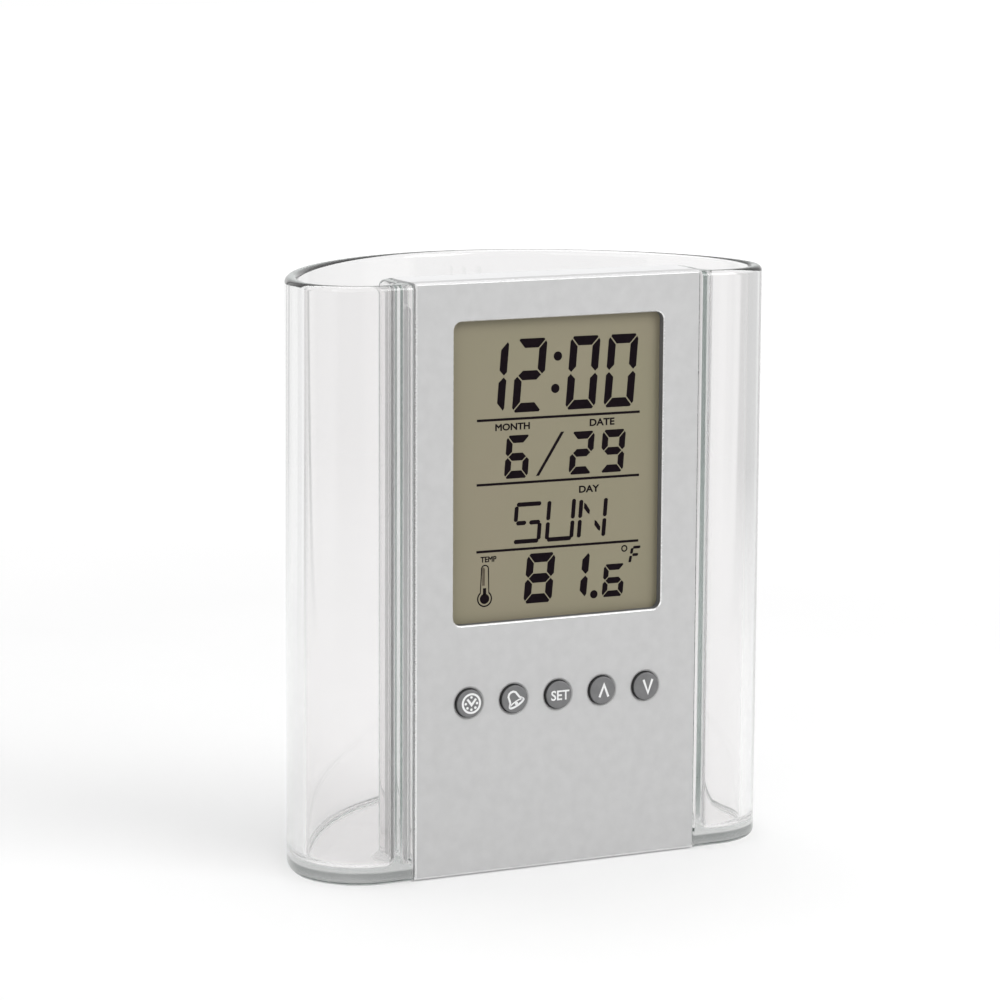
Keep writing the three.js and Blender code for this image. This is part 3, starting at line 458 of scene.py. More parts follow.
@dataclass(frozen=True)
class Moulded(Finish):
    """Opaque plastic, paint, rubber or resin with a fine grain and a faint mottle."""

    colour: Triple = (0.5, 0.5, 0.5)
    mottle: float = 0.04
    mottle_size: float = 3
    grain_size: float = 0.25
    grain_depth: float = 0.01
    roughness: Point = (0.4, 0.5)
    metallic: float = 0
    specular: float = 0.5
    grain_detail: float = 2
    grain_stretch: Triple = (1, 1, 1)

    def shades(self) -> Point:
        """Gives the mottle's darkest and lightest share of the colour."""
        return 1 - self.mottle, 1 + self.mottle

    def lay(self, nodes: Nodes) -> None:
        """Lays out mottled colour, uneven gloss and grain.

        Args:
            nodes: The nodes of the material.
        """
        dark, light = (
            tuple(min(1, part * shade) for part in self.colour) for shade in self.shades()
        )
        blots = nodes.spread(nodes.noise(self.mottle_size), 0, 1)
        grain = nodes.noise(self.grain_size, self.grain_detail, self.grain_stretch)
        nodes.set(
            Base_Color=nodes.blend(blots, dark, light),
            Roughness=nodes.spread(grain, *self.roughness),
            Metallic=self.metallic,
            Specular_IOR_Level=self.specular,
        )
        nodes.relief(grain, self.grain_depth)


@dataclass(frozen=True)
class PlatedMetal(Moulded):
    """Plated or rolled metal with faint stains and fine drawn lines in place of grain."""

    mottle: float = 0.14
    mottle_size: float = 1.6
    grain_size: float = 2
    grain_depth: float = 0.006
    roughness: Point = (0.2, 0.34)
    metallic: float = 1
    grain_detail: float = 3
    grain_stretch: Triple = (1, 1, 24)

    def shades(self) -> Point:
        """Gives the stains' share of the colour and the clean metal's."""
        return 1 - self.mottle, 1


@dataclass(frozen=True)
class PolishedClear(Finish):
    """Clear moulded plastic with polished, faintly wavy faces, and painted shade greying its base.
    """

    colour: Triple = (0.965, 0.955, 0.956)
    # Painted shade: a dark grey mixed into the low upright faces of the base.
    base_painted_shade: Triple = (0.13, 0.145, 0.14)
    base_heights: Point = (2.5, 2.9)
    base_slopes: Point = (0.3, 0.9)
    base_fade: Point = (0.3, 2.2)
    base_low: float = 0.8
    base_blot: float = 13
    depth_colour: Triple = (0.79, 0.82, 0.81)
    density: float = 50
    bend: float = 1.57
    roughness: float = 0.015
    wave_size: float = 22
    wave_depth: float = 0.02

    def base_shade_share(self, nodes: Nodes) -> Socket:
        """Gives how much of the painted shade at the base shows.

        Args:
            nodes: The nodes of the material.

        Returns:
            The share, which is 0 above the base and on faces that aren't upright.
        """
        height = nodes.add("ShaderNodeSeparateXYZ", Vector=nodes.places).outputs["Z"]
        normal = nodes.add("ShaderNodeNewGeometry").outputs["Normal"]
        facing = nodes.add("ShaderNodeSeparateXYZ", Vector=normal).outputs["Z"]
        slope = nodes.sum("ABSOLUTE", facing)
        low, high = self.base_heights
        base = nodes.stretch(height, (low * MM, high * MM), (1, 0))
        upright = nodes.stretch(slope, self.base_slopes, (1, 0))
        start, end = self.base_fade
        fade = nodes.stretch(height, (start * MM, end * MM), (self.base_low, 1))
        blots = nodes.spread(nodes.noise(self.base_blot, detail=1), self.base_low, 1)
        edge = nodes.sum("MULTIPLY", base, upright)
        return nodes.sum("MULTIPLY", edge, nodes.sum("MULTIPLY", fade, blots))

    def lay(self, nodes: Nodes) -> None:
        """Lays out the clear shader with painted shade at its base, and lets lamps shine through
        it.

        Args:
            nodes: The nodes of the material.
        """
        # The base colour mixes painted shade into the low upright faces.
        nodes.set(
            Base_Color=nodes.blend(self.base_shade_share(nodes), self.colour, self.base_painted_shade),
            Roughness=self.roughness,
            IOR=self.bend,
            Transmission_Weight=1,
        )
        nodes.relief(nodes.noise(self.wave_size, detail=1), self.wave_depth)
        shadow = nodes.add("ShaderNodeLightPath").outputs["Is Shadow Ray"]
        through = nodes.join("ShaderNodeBsdfTransparent", (*self.colour, 1))
        nodes.surface(nodes.join("ShaderNodeMixShader", shadow, nodes.shader.outputs[0], through))
        depth = nodes.join("ShaderNodeVolumeAbsorption", (*self.depth_colour, 1), self.density)
        nodes.feed(nodes.output.inputs["Volume"], depth)


@dataclass(frozen=True)
class DisplayFilm(Finish):
    """Olive-grey polarising film over a liquid crystal display."""

    warm: Triple = (0.288, 0.258, 0.182)
    green: Triple = (0.28, 0.258, 0.176)
    drift_size: float = 18
    sparkle_size: float = 0.12
    sparkle_depth: float = 0.002
    roughness: Point = (0.42, 0.5)
    specular: float = 0.2

    def lay(self, nodes: Nodes) -> None:
        """Lays out a slow drift of colour and a fine sparkle of the reflector.

        Args:
            nodes: The nodes of the material.
        """
        drift = nodes.spread(nodes.noise(self.drift_size, detail=1), 0, 1)
        sparkle = nodes.noise(self.sparkle_size, detail=2)
        nodes.set(
            Base_Color=nodes.blend(drift, self.warm, self.green),
            Roughness=nodes.spread(sparkle, *self.roughness),
            Specular_IOR_Level=self.specular,
        )
        nodes.relief(sparkle, self.sparkle_depth)


@dataclass(frozen=True)
class BoardMask(Finish):
    """Green solder mask with copper tracks that show through it."""

    mask: Triple = (0.018, 0.115, 0.04)
    track: Triple = (0.035, 0.19, 0.065)
    pitch: float = 1.1
    space: float = 0.06
    thin: float = 0.85
    roughness: float = 0.35
    depth: float = 0.03

    def lay(self, nodes: Nodes) -> None:
        """Lays out tracks as a brick pattern and gives them a low relief.

        Args:
            nodes: The nodes of the material.
        """
        turn = nodes.add("ShaderNodeMapping", Vector=nodes.places, Rotation=(math.pi / 2, 0, 0))
        pattern = nodes.add(
            "ShaderNodeTexBrick",
            Vector=turn.outputs[0],
            Color1=WHITE,
            Color2=(*grey(self.thin), 1),
            Mortar=(*grey(0), 1),
            Scale=1 / (self.pitch * MM),
            Mortar_Size=self.space,
        ).outputs["Color"]
        nodes.set(Base_Color=nodes.blend(pattern, self.track, self.mask), Roughness=self.roughness)
        nodes.relief(pattern, self.depth)


@dataclass(frozen=True)
class LayeredRubber(Finish):
    """Pink silicone with thin carbon layers across it."""

    rubber: Triple = (0.62, 0.36, 0.34)
    carbon: Triple = (0.03, 0.03, 0.03)
    pitch: float = 0.4
    wave_length: float = 0.314
    roughness: float = 0.6
    depth: float = 0.01

    def lay(self, nodes: Nodes) -> None:
        """Lays out the layers as bands along the strip.

        Args:
            nodes: The nodes of the material.
        """
        scale = self.wave_length / (self.pitch * MM)
        wave = nodes.add("ShaderNodeTexWave", Vector=nodes.places, Scale=scale)
        wave.bands_direction = "X"
        bands = wave.outputs["Fac"]
        nodes.set(Base_Color=nodes.blend(bands, self.rubber, self.carbon), Roughness=self.roughness)
        nodes.relief(bands, self.depth)


@dataclass(frozen=True)
class ThinGlass(Finish):
    """Display glass with a faint green cast and very fine scratches."""

    colour: Triple = (0.86, 0.9, 0.87)
    scratch_size: float = 0.8
    scratches: Triple = (1, 1, 12)
    roughness: Point = (0.01, 0.04)
    bend: float = 1.5

    def lay(self, nodes: Nodes) -> None:
        """Lays out clear glass with scratches in its gloss.

        Args:
            nodes: The nodes of the material.
        """
        scratches = nodes.noise(self.scratch_size, 4, self.scratches)
        nodes.set(
            Base_Color=(*self.colour, 1),
            Roughness=nodes.spread(scratches, *self.roughness),
            IOR=self.bend,
            Transmission_Weight=1,
        )


class Look(Enum):
    """The finishes of this object, by the piece that wears them."""

    CLEAR = PolishedClear("clear_plastic")
    PANEL = Moulded("silver_paint", grey(0.575), 0.03, 2.5, 0.16, 0.006, (0.4, 0.5), 0.12, 0.4)
    # Painted highlight: a lighter, glossier copy of the silver paint, worn by the panel's slanted
    # edges.
    EDGE = Moulded("panel_edge_painted_highlight", grey(0.86), 0.02, 2.5, 0.16, 0.003, (0.22, 0.3), 0.75, 0.5)
    # Painted shade: a dark grey that the window recess walls wear in place of the silver paint.
    RECESS_SHADE = Moulded(
        "window_recess_painted_shade", (0.15, 0.15, 0.152), 0.05, 1.5, 0.16, 0.004, (0.5, 0.6), 0, 0.2
    )
    CASE = Moulded("silver_plastic", (0.78, 0.78, 0.785), 0.02, 6, 0.3, 0.004, (0.28, 0.36), 0.05)
    FILM = DisplayFilm("display_film")
    INK = Moulded("display_ink", (0.007, 0.004, 0.006), 0.2, 1, 0.2, 0.001, (0.5, 0.6), 0, 0.04)
    FAINT_INK = Moulded("faint_ink", (0.12, 0.1, 0.072), 0.1, 1, 0.2, 0.001, (0.5, 0.6), 0, 0.1)
    KEY = Moulded("key_rubber", (0.175, 0.175, 0.178), 0.09, 1.6, 0.12, 0.01, (0.5, 0.62), 0, 0.5)
    # Painted shade: a near-black copy of the key rubber, worn by the keys' side walls.
    KEY_SIDE_SHADE = Moulded("key_side_painted_shade", (0.045, 0.045, 0.046), 0.1, 1.2, 0.12, 0.01, (0.6, 0.7), 0, 0.1)
    PRINT = Moulded("key_print", grey(0.88), 0.02, 0.8, 0.1, 0.002, (0.5, 0.6), 0, 0.3)
    GLASS = ThinGlass("display_glass")
    WHITE = Moulded("white_plastic", (0.78, 0.78, 0.75), 0.03, 4, 0.3, 0.004, (0.4, 0.5))
    ZEBRA = LayeredRubber("contact_rubber")
    BOARD = BoardMask("board_laminate")
    RESIN = Moulded("black_resin", (0.016, 0.015, 0.016), 0.15, 1.5, 0.4, 0.02, (0.16, 0.3))
    CELL = PlatedMetal("cell_steel", (0.68, 0.68, 0.69), roughness=(0.18, 0.3))
    BRASS = PlatedMetal(
        "spring_brass", (0.72, 0.52, 0.22), roughness=(0.22, 0.38), grain_stretch=(24, 1, 1)
    )
    SCREW = PlatedMetal(
        "screw_steel", (0.52, 0.52, 0.54), roughness=(0.26, 0.42), grain_stretch=(1, 24, 1)
    )
    RED_WIRE = Moulded("red_wire", (0.5, 0.02, 0.018), 0.08, 1.5, 0.3, 0.01, (0.3, 0.42))
    BLACK_WIRE = Moulded("black_wire", (0.014, 0.014, 0.015), 0.1, 1.5, 0.3, 0.01, (0.3, 0.42))


def dress(piece: Thing, look: Look) -> None:
    """Gives a piece or CAD node one finish all over."""
    piece.data.materials.clear()
    piece.data.materials.append(look.value.material())


def finish_piece(piece: Thing, look: Look, body: str) -> None:
    """Dresses a new piece and says what it rides on.

    Args:
        piece: The piece.
        look: Its finish.
        body: The body that it rides on.
    """
    dress(piece, look)
    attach(piece, body)
    LOG.info("made %s with %d faces", piece.name, len(piece.data.polygons))


@dataclass
class ClearCup:
    """The clear moulding: oval wall, floor, and the pocket for the clock module."""

    width: float = 99.6
    depth: float = 56.8
    height: float = 116
    wall: float = 2.7
    floor: float = 3
    edge_radius: float = 1.2
    floor_radius: float = 1.8
    corner_depth: float = 13
    flat_half: float = 36.7
    corner_shares: Point = (0.548, 0.522)
    back_shares: Point = (0.397, 0.566)
    pocket_half: float = 30.9
    pocket_depth: float = 11.7
    pocket_back: float = 14.1
    pocket_outer: float = 33.6
    pocket_fillet: float = 2.1
    pocket_corner: float = 4.6
    chin_depth: float = 1.9
    chin_overlap: float = 1
    groove_half: float = 31.9
    groove_span: Point = (4.7, 7.1)
    overrun: float = 2
    soft_edge: float = 0.15
    sharp: float = 50
    round_steps: int = 6
    corner_steps: int = 22
    back_steps: int = 44

    def plan(self, grow: float) -> list[Point]:
        """Gives the cup's plan as places across and depths.

        Args:
            grow: How far the sides, the front and the back move out.

        Returns:
            The corners, from the left end of the flat front.
        """
        half, front, back = self.width / 2 + grow, -grow, self.depth + grow
        flat, widest = self.flat_half, self.corner_depth
        to_corner = flat + self.corner_shares[0] * (half - flat)
        to_side = widest - self.corner_shares[1] * (widest - front)
        to_flank = widest + self.back_shares[0] * (back - widest)
        to_back = self.back_shares[1] * half
        right = [(flat, front)]
        corner = [(flat, front), (to_corner, front), (half, to_side), (half, widest)]
        flank = [(half, widest), (half, to_flank), (to_back, back), (0, back)]
        right += bezier(corner, self.corner_steps) + bezier(flank, self.back_steps)
        left = [(-x, depth) for x, depth in reversed(right[:-1])]
        return [left[-1], *right, *left[:-1]]

    def pen_space(self, grow: float) -> list[Point]:
        """Gives the plan of the space for pens, bent round the pocket.

        Args:
            grow: How far it moves out all round.

        Returns:
            The corners.
        """
        inner = self.plan(grow - self.wall)
        fillet = self.pocket_fillet + grow
        corner = self.pocket_corner - grow
        fillet_at = (self.pocket_outer + self.pocket_fillet, self.wall + self.pocket_fillet)
        corner_at = (self.pocket_outer - self.pocket_corner, self.pocket_back - self.pocket_corner)
        steps = self.round_steps
        pocket = arc((-fillet_at[0], fillet_at[1]), fillet, -90, 0, steps)
        pocket += arc((-corner_at[0], corner_at[1]), corner, 180, 90, steps)
        pocket += arc(corner_at, corner, 90, 0, steps)
        pocket += arc(fillet_at, fillet, 180, 270, steps)
        return [*inner[1:], inner[0], *pocket]

    def stations(self, start: float, end: float, growth: float) -> list[Point]:
        """Gives the heights and growths of a quarter round.

        Args:
            start: Height where the wall is upright.
            end: Height where it turns flat.
            growth: How far the plan grows up to there, below 0 where it shrinks.

        Returns:
            Pairs of height and growth, from start to end.
        """
        pairs = []
        for step in range(self.round_steps + 1):
            angle = math.radians(90) * step / self.round_steps
            pairs.append((start + (end - start) * math.sin(angle), growth * (1 - math.cos(angle))))
        return pairs

    def body(self, name: str, plan: Callable[[float], list[Point]], pairs: Outline) -> Thing:
        """Makes an object by lofting a plan through pairs of height and growth."""
        rings = [[place(x, depth, height) for x, depth in plan(grow)] for height, grow in pairs]
        return Piece(name).loft(rings).done()

    def tool(self, half: float, span: Point, heights: Point) -> Thing:
        """Makes a block to cut with from half its width, its depths and its heights."""
        (low, high), piece = heights, Piece("tool")
        return piece.prism([(-half, low), (half, low), (half, high), (-half, high)], *span).done()

    def build(self) -> None:
        """Builds the cup and stands it in for the CAD node."""
        base = self.stations(self.edge_radius, 0, -self.edge_radius)[::-1]
        rim_start = self.height - self.edge_radius
        rim = self.stations(rim_start, self.height, -self.edge_radius)
        cup = self.body("cup_shell", self.plan, [*base, *rim])
        hollow = self.stations(self.floor + self.floor_radius, self.floor, -self.floor_radius)[::-1]
        hollow += self.stations(rim_start, self.height, self.edge_radius)
        hollow.append((self.height + self.overrun, self.edge_radius))
        top, chin_top = self.height + self.overrun, self.floor + self.chin_overlap
        out = -self.overrun
        tools = [
            self.body("space", self.pen_space, hollow),
            self.tool(self.pocket_half, (out, self.pocket_depth), (self.floor, top)),
            self.tool(self.groove_half, self.groove_span, (self.floor, top)),
            self.tool(self.pocket_half, (out, self.chin_depth), (out, chin_top)),
        ]
        carve(cup, tools)
        soften(cup, self.soft_edge, self.sharp)
        settle(cup)
        finish_piece(cup, Look.CLEAR, "cup")
        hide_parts("clear_cup")


class Bar(Enum):
    """The bars of a figure made of seven bars."""

    TOP = "top"
    UPPER_LEFT = "upper_left"
    UPPER_RIGHT = "upper_right"
    MIDDLE = "middle"
    LOWER_LEFT = "lower_left"
    LOWER_RIGHT = "lower_right"
    BOTTOM = "bottom"


RIGHT_BARS = {Bar.UPPER_RIGHT, Bar.LOWER_RIGHT}
LOWER_BARS = {Bar.LOWER_LEFT, Bar.LOWER_RIGHT, Bar.BOTTOM}
LEVEL_BARS = {Bar.TOP, Bar.MIDDLE, Bar.BOTTOM}
LIT: dict[str, set[Bar]] = {
    "0": set(Bar) - {Bar.MIDDLE},
    "1": RIGHT_BARS,
    "2": LEVEL_BARS | {Bar.UPPER_RIGHT, Bar.LOWER_LEFT},
    "6": set(Bar) - {Bar.UPPER_RIGHT},
    "8": set(Bar),
    "9": set(Bar) - {Bar.LOWER_LEFT},
}


@dataclass(frozen=True)
class Cell:
    """The leaning cell that one sign of the display is drawn in."""

    left: float
    bottom: float
    lean: float

    def lay(self, points: Iterable[Point]) -> list[Point]:
        """Moves points of the upright cell to their place on the display."""
        return [(self.left + x + self.lean * z, self.bottom + z) for x, z in points]


@dataclass(frozen=True)
class Figure(Cell):
    """A figure made of seven bars."""

    width: float
    height: float
    upright: float
    level: float
    gap: float
    trim: float
    tip_share: float = 0.38
    foot_share: float = 0.75

    def bars(self, figure: str) -> list[list[Point]]:
        """Gives the outlines of the bars that a figure lights."""
        return [self.lay(self.bar(bar)) for bar in Bar if bar in LIT[figure]]

    def row(self, figures: FigureRow) -> list[list[Point]]:
        """Gives the bars of figures that stand in a row, each with its left end."""
        return [bar for figure, left in figures for bar in replace(self, left=left).bars(figure)]

    def bar(self, bar: Bar) -> list[Point]:
        """Gives one bar's outline in the upright cell.

        Args:
            bar: The bar.

        Returns:
            Its corners.
        """
        if bar is Bar.MIDDLE:
            return self.middle()
        outline = self.top() if bar in LEVEL_BARS else self.upper_left()
        if bar in LOWER_BARS:
            outline = [(x, self.height - z) for x, z in outline]
        return self.mirrored(outline) if bar in RIGHT_BARS else outline

    def mirrored(self, points: Iterable[Point]) -> list[Point]:
        """Swaps the left and the right of the cell."""
        return [(self.width - x, z) for x, z in points]

    def nick(self) -> Point:
        """Gives how far across and down a mitre's tip is trimmed."""
        slope = math.hypot(self.upright, self.level)
        return self.trim * self.upright / slope, self.trim * self.level / slope

    def top(self) -> list[Point]:
        """Gives the top bar, mitred at both ends.

        Returns:
            Its corners.
        """
        start = self.gap / 2 * math.hypot(self.upright, self.level) / self.level
        nick, drop = self.nick()
        left = [
            (start + self.upright, self.height - self.level),
            (start + nick, self.height - drop),
            (start + nick + self.trim / 2, self.height),
        ]
        return left + self.mirrored(reversed(left))

    def upper_left(self) -> list[Point]:
        """Gives the upper left bar, mitred at its top and pointed at its foot.

        Returns:
            Its corners.
        """
        start = self.gap / 2 * math.hypot(self.upright, self.level) / self.upright
        nick, drop = self.nick()
        foot = self.height / 2 + self.gap * self.foot_share
        tip = self.tip_share * self.upright
        return [
            (0, self.height - start - drop - self.trim),
            (nick, self.height - start - drop),
            (self.upright, self.height - start - self.level),
            (self.upright, foot + self.upright - tip),
            (tip, foot),
            (0, foot + tip),
        ]

    def middle(self) -> list[Point]:
        """Gives the middle bar, pointed at both ends.

        Returns:
            Its corners.
        """
        tip = self.tip_share * self.upright + self.gap * self.foot_share
        half = self.level / 2
        centre = self.height / 2
        left = [(tip + half, centre - half), (tip, centre), (tip + half, centre + half)]
        return left + self.mirrored(reversed(left))


@dataclass(frozen=True)
class Letter(Cell):
    """A letter of thin bars with clipped corners, and of free strokes.

    A slab gives its left, bottom, right and top, and the cut of its corners if it has its own.
    """

    slabs: tuple[tuple[float, ...], ...]
    strokes: tuple[tuple[Point, ...], ...] = ()
    cut: float = 0.25

    def outlines(self) -> list[list[Point]]:
        """Gives the outlines of the letter's slabs and strokes.

        Returns:
            The outlines in their place on the display.
        """
        made = []
        for left, low, right, high, *own in self.slabs:
            cut = own[0] if own else self.cut
            foot = [(left, low + cut), (left + cut, low), (right - cut, low), (right, low + cut)]
            head = [(x, low + high - z) for x, z in reversed(foot)]
            made.append(foot + head)
        return [self.lay(outline) for outline in (*made, *self.strokes)]


WEEKDAY = (
    Letter(-8.95, 64.3, 0.075, (
        (0.15, 7.26, 5.4, 8.1), (-0.25, 4.35, 0.59, 7.35), (0.3, 3.63, 2.45, 4.47, 0.3),
        (3.1, 3.63, 5.45, 4.47, 0.3), (4.96, 0.6, 5.8, 3.85), (0.1, 0, 5.35, 0.84),
    )),
    Letter(-2.2, 64.3, 0.075, (
        (0, 4.25, 0.84, 8.0), (0, 0.5, 0.84, 3.85), (0.5, 0, 5.7, 0.84),
        (5.34, 0.5, 6.18, 3.85), (5.34, 4.25, 6.18, 8.1),
    )),
    Letter(4.75, 64.3, 0.075, (
        (0, 4.25, 0.84, 7.8), (0, 0.4, 0.84, 3.85),
        (5.38, 0.35, 6.22, 3.85), (5.38, 4.25, 6.22, 7.85),
    ), (
        ((1.08, 7.2), (1.55, 6.9), (2.45, 5.65), (2.4, 4.85), (1.95, 5.15), (1.12, 6.1)),
        ((3.65, 3.65), (4.05, 3.45), (5.0, 2.3), (5.0, 1.4), (4.6, 1.6), (3.68, 2.65)),
    )),
)
FAHRENHEIT = Letter(16.3, 59.05, 0.2, (
    (0.36, 2.62, 1.95, 3.16), (-0.1, 1.66, 0.5, 2.74),
    (0.5, 1.14, 1.75, 1.7), (-0.1, -0.04, 0.5, 1.24),
), cut=0.14)
TEMPERATURE = (
    ("8", Figure(-6.75, 52.4, 0.09, 6.1, 9.8, 1.56, 1.8, 0.22, 0.5)),
    ("1", Figure(0.8, 52.4, 0.09, 6.1, 9.6, 1.52, 1.6, 0.22, 0.5)),
    ("6", Figure(10.35, 52.45, 0.083, 4.6, 6.5, 1.12, 1.22, 0.2, 0.32)),
)


@dataclass(frozen=True)
class Thermometer:
    """The sign of a thermometer: a bulb with its stem, a tube round them and a column."""

    bulb: Point = (-15.06, 54.0)
    bulb_radius: float = 1.0
    bulb_sides: int = 28
    stem: tuple[Point, ...] = ((-15.4, 54.8), (-14.72, 54.8), (-14.72, 56.1), (-15.4, 56.1))
    bulb_line: Point = (1.6, 1.33)
    bulb_arc: Point = (128, 412)
    top: Point = (-14.99, 59.85)
    top_line: Point = (0.85, 0.62)
    top_arc: Point = (10, 170)
    shoulder: float = 59.7
    bulb_steps: int = 40
    top_steps: int = 14
    column: tuple[Point, ...] = (
        (-15.6, 56.6), (-15.02, 56.6), (-14.98, 59.9), (-15.3, 60.2), (-15.56, 60),
    )

    def tube(self, side: int) -> list[Point]:
        """Gives one outline of the tube's line.

        Args:
            side: 0 for its outer outline, 1 for its inner one.

        Returns:
            The corners, as many for both sides.
        """
        middle, radius = self.top[0], self.top_line[side]
        right, left = ((middle + way * radius, self.shoulder) for way in (1, -1))
        round_bulb = arc(self.bulb, self.bulb_line[side], *self.bulb_arc, self.bulb_steps)
        round_top = arc(self.top, radius, *self.top_arc, self.top_steps)
        return [*round_bulb, right, *round_top, left]


@dataclass
class Display:
    """What the liquid crystal display shows, on its front film."""

    film_depth: float = 1.85
    ink: float = 0.02
    rise: float = 0.13
    tilt: float = 0.0065
    time_cell: Figure = Figure(0, 90, 0.08, 6.45, 14.25, 1.6, 1.82, 0.26, 0.44)
    time_figures: FigureRow = (("1", -17.6), ("2", -9.45), ("0", 2.05), ("0", 10.35))
    colon: tuple[Point, ...] = ((0.38, 100.55), (-0.13, 94.28))
    colon_radius: float = 0.9
    date_cell: Figure = Figure(0, 77.2, 0.075, 5.06, 8.4, 1.32, 1.5, 0.22, 0.36)
    date_figures: FigureRow = (("6", -11.05), ("2", 2.87), ("9", 9.68))
    date_stroke: tuple[Point, ...] = ((-4.17, 77.4), (-3.5, 77.4), (1.87, 85.75), (1.17, 85.75))
    decimal: Point = (8.65, 53.18)
    decimal_radius: float = 0.82
    degree: Point = (15.27, 61.86)
    degree_line: Point = (0.68, 0.42)
    dot_sides: int = 24
    thermometer: Thermometer = Thermometer()
    rule_half: float = 0.24
    rule_span: Point = (-16.85, 18.35)
    rule_heights: tuple[float, ...] = (88.8, 76.3, 63.25)
    words: tuple[tuple[str, Point, Point], ...] = (
        ("MONTH", (-12.95, 86.6), (7.4, 1.38)),
        ("DATE", (7.4, 86.5), (5.42, 1.42)),
        ("DAY", (5.2, 73.5), (4.45, 1.4)),
        ("TEMP", (-15.95, 61.15), (3.4, 1.12)),
    )

    def depths(self) -> Point:
        """Gives the depths of the ink's front and back."""
        return self.film_depth - self.ink, self.film_depth

    def tilted(self, outline: Iterable[Point]) -> list[Point]:
        """Turns an outline by the little that the glass sits askew."""
        return [(x, z + self.rise - self.tilt * x) for x, z in outline]

    def draw(
        self,
        name: str,
        outlines: Iterable[Outline],
        hoops: Iterable[Sequence[Outline]] = (),
        look: Look = Look.INK,
    ) -> None:
        """Draws thin ink on the film as a piece of the module.

        Args:
            name: Name of the piece.
            outlines: Closed outlines, before the tilt.
            hoops: Outer and inner outlines, in their place.
            look: Finish of the ink.
        """
        piece = Piece(name)
        for outline in outlines:
            piece.prism(self.tilted(outline), *self.depths())
        for outer, inner in hoops:
            piece.hoop(outer, inner, *self.depths())
        finish_piece(piece.done(), look, "clock_module")

    def temperature(self) -> None:
        """Draws the temperature, its unit and the thermometer."""
        sign = self.thermometer
        outlines = [bar for figure, cell in TEMPERATURE for bar in cell.bars(figure)]
        outlines.append(circle(self.decimal, self.decimal_radius, self.dot_sides))
        outlines += FAHRENHEIT.outlines()
        outlines += [circle(sign.bulb, sign.bulb_radius, sign.bulb_sides), sign.stem]
        degree = self.tilted([self.degree])[0]
        hoops = [
            [circle(degree, radius) for radius in self.degree_line],
            [self.tilted(sign.tube(side)) for side in (0, 1)],
        ]
        self.draw("display_temperature", outlines, hoops)
        self.draw("display_column", [sign.column], look=Look.FAINT_INK)

    def build(self) -> None:
        """Draws everything that the display shows."""
        colon = [circle(middle, self.colon_radius, self.dot_sides) for middle in self.colon]
        self.draw("display_time", [*self.time_cell.row(self.time_figures), *colon])
        self.draw("display_date", [*self.date_cell.row(self.date_figures), self.date_stroke])
        weekday = [outline for letter in WEEKDAY for outline in letter.outlines()]
        self.draw("display_weekday", weekday)
        self.temperature()
        left, right = self.rule_span
        rules = []
        for height in self.rule_heights:
            low, high = height - self.rule_half, height + self.rule_half
            rules.append([(left, low), (right, low), (right, high), (left, high)])
        self.draw("display_rules", rules)
        for body, corner, size in self.words:
            word = Lettering(body, self.tilted([corner])[0], size, self.depths())
            made = word.build(f"display_word_{body.lower()}")
            finish_piece(made, Look.INK, "clock_module")


@dataclass(frozen=True)
class Lettering:
    """A word in plain capitals that fills a given box."""

    body: str
    corner: Point
    size: Point
    depths: Point
    weight: float = 0.03
    thickness: float = 0.5
    curve_steps: int = 4

    def draft(self, name: str) -> bpy.types.Mesh:
        """Gives the word's mesh in Blender's own letter size.

        Args:
            name: Name of the mesh.

        Returns:
            The mesh.
        """
        curve = bpy.data.curves.new(name, "FONT")
        curve.body = self.body
        curve.bevel_depth = self.weight
        curve.bevel_resolution = 0
        curve.extrude = self.thickness
        curve.resolution_u = self.curve_steps
        draft = show(name + "_draft", curve)
        shown = draft.evaluated_get(bpy.context.evaluated_depsgraph_get())
        data = bpy.data.meshes.new_from_object(shown)
        bpy.data.objects.remove(draft)
        return data

    def build(self, name: str) -> Thing:
        """Builds the word as a thin mesh.

        Args:
            name: Name of the object.

        Returns:
            The object.
        """
        data = self.draft(name)
        places = [vertex.co.copy() for vertex in data.vertices]
        low = [min(co[axis] for co in places) for axis in range(3)]
        span = [max(co[axis] for co in places) - low[axis] for axis in range(3)]
        front, back = self.depths
        for vertex, co in zip(data.vertices, places):
            x, z, d = ((co[axis] - low[axis]) / span[axis] for axis in range(3))
            across, height = self.corner[0] + x * self.size[0], self.corner[1] + z * self.size[1]
            vertex.co = place(across, back + (front - back) * d, height)
        data.name = name
        return show(name, data)


MITRE_LIMIT = 0.35


def offset(points: Outline, distance: float, closed: bool) -> list[Point]:
    """Moves a line of points sideways.

    Args:
        points: The line.
        distance: How far to the left of its direction it moves.
        closed: Whether the last point joins the first.

    Returns:
        The moved points.
    """
    moved = []
    count = len(points)
    for index, (x, z) in enumerate(points):
        before = points[index - 1] if closed or index else points[0]
        after = points[(index + 1) % count] if closed or index < count - 1 else points[-1]
        first = Vector((x - before[0], z - before[1]))
        second = Vector((after[0] - x, after[1] - z))
        first, second = (way.normalized() for way in (first or second, second or first))
        normal = Vector((-(first.y + second.y), first.x + second.x))
        stretch = distance / max(MITRE_LIMIT, 1 + first.dot(second))
        moved.append((x + normal.x * stretch, z + normal.y * stretch))
    return moved


class Mark(Enum):
    """The printed marks on the keys, from the left."""

    CLOCK = "time"
    BELL = "alarm"
    SET = "set"
    UP = "up"
    DOWN = "down"


@dataclass(frozen=True)
class Line:
    """A printed line of even width, by the points of its middle."""

    points: Outline
    width: float = 0.42
    closed: bool = False


@dataclass(frozen=True)
class Dot:
    """A printed dot."""

    middle: Point
    radius: float
    sides: int


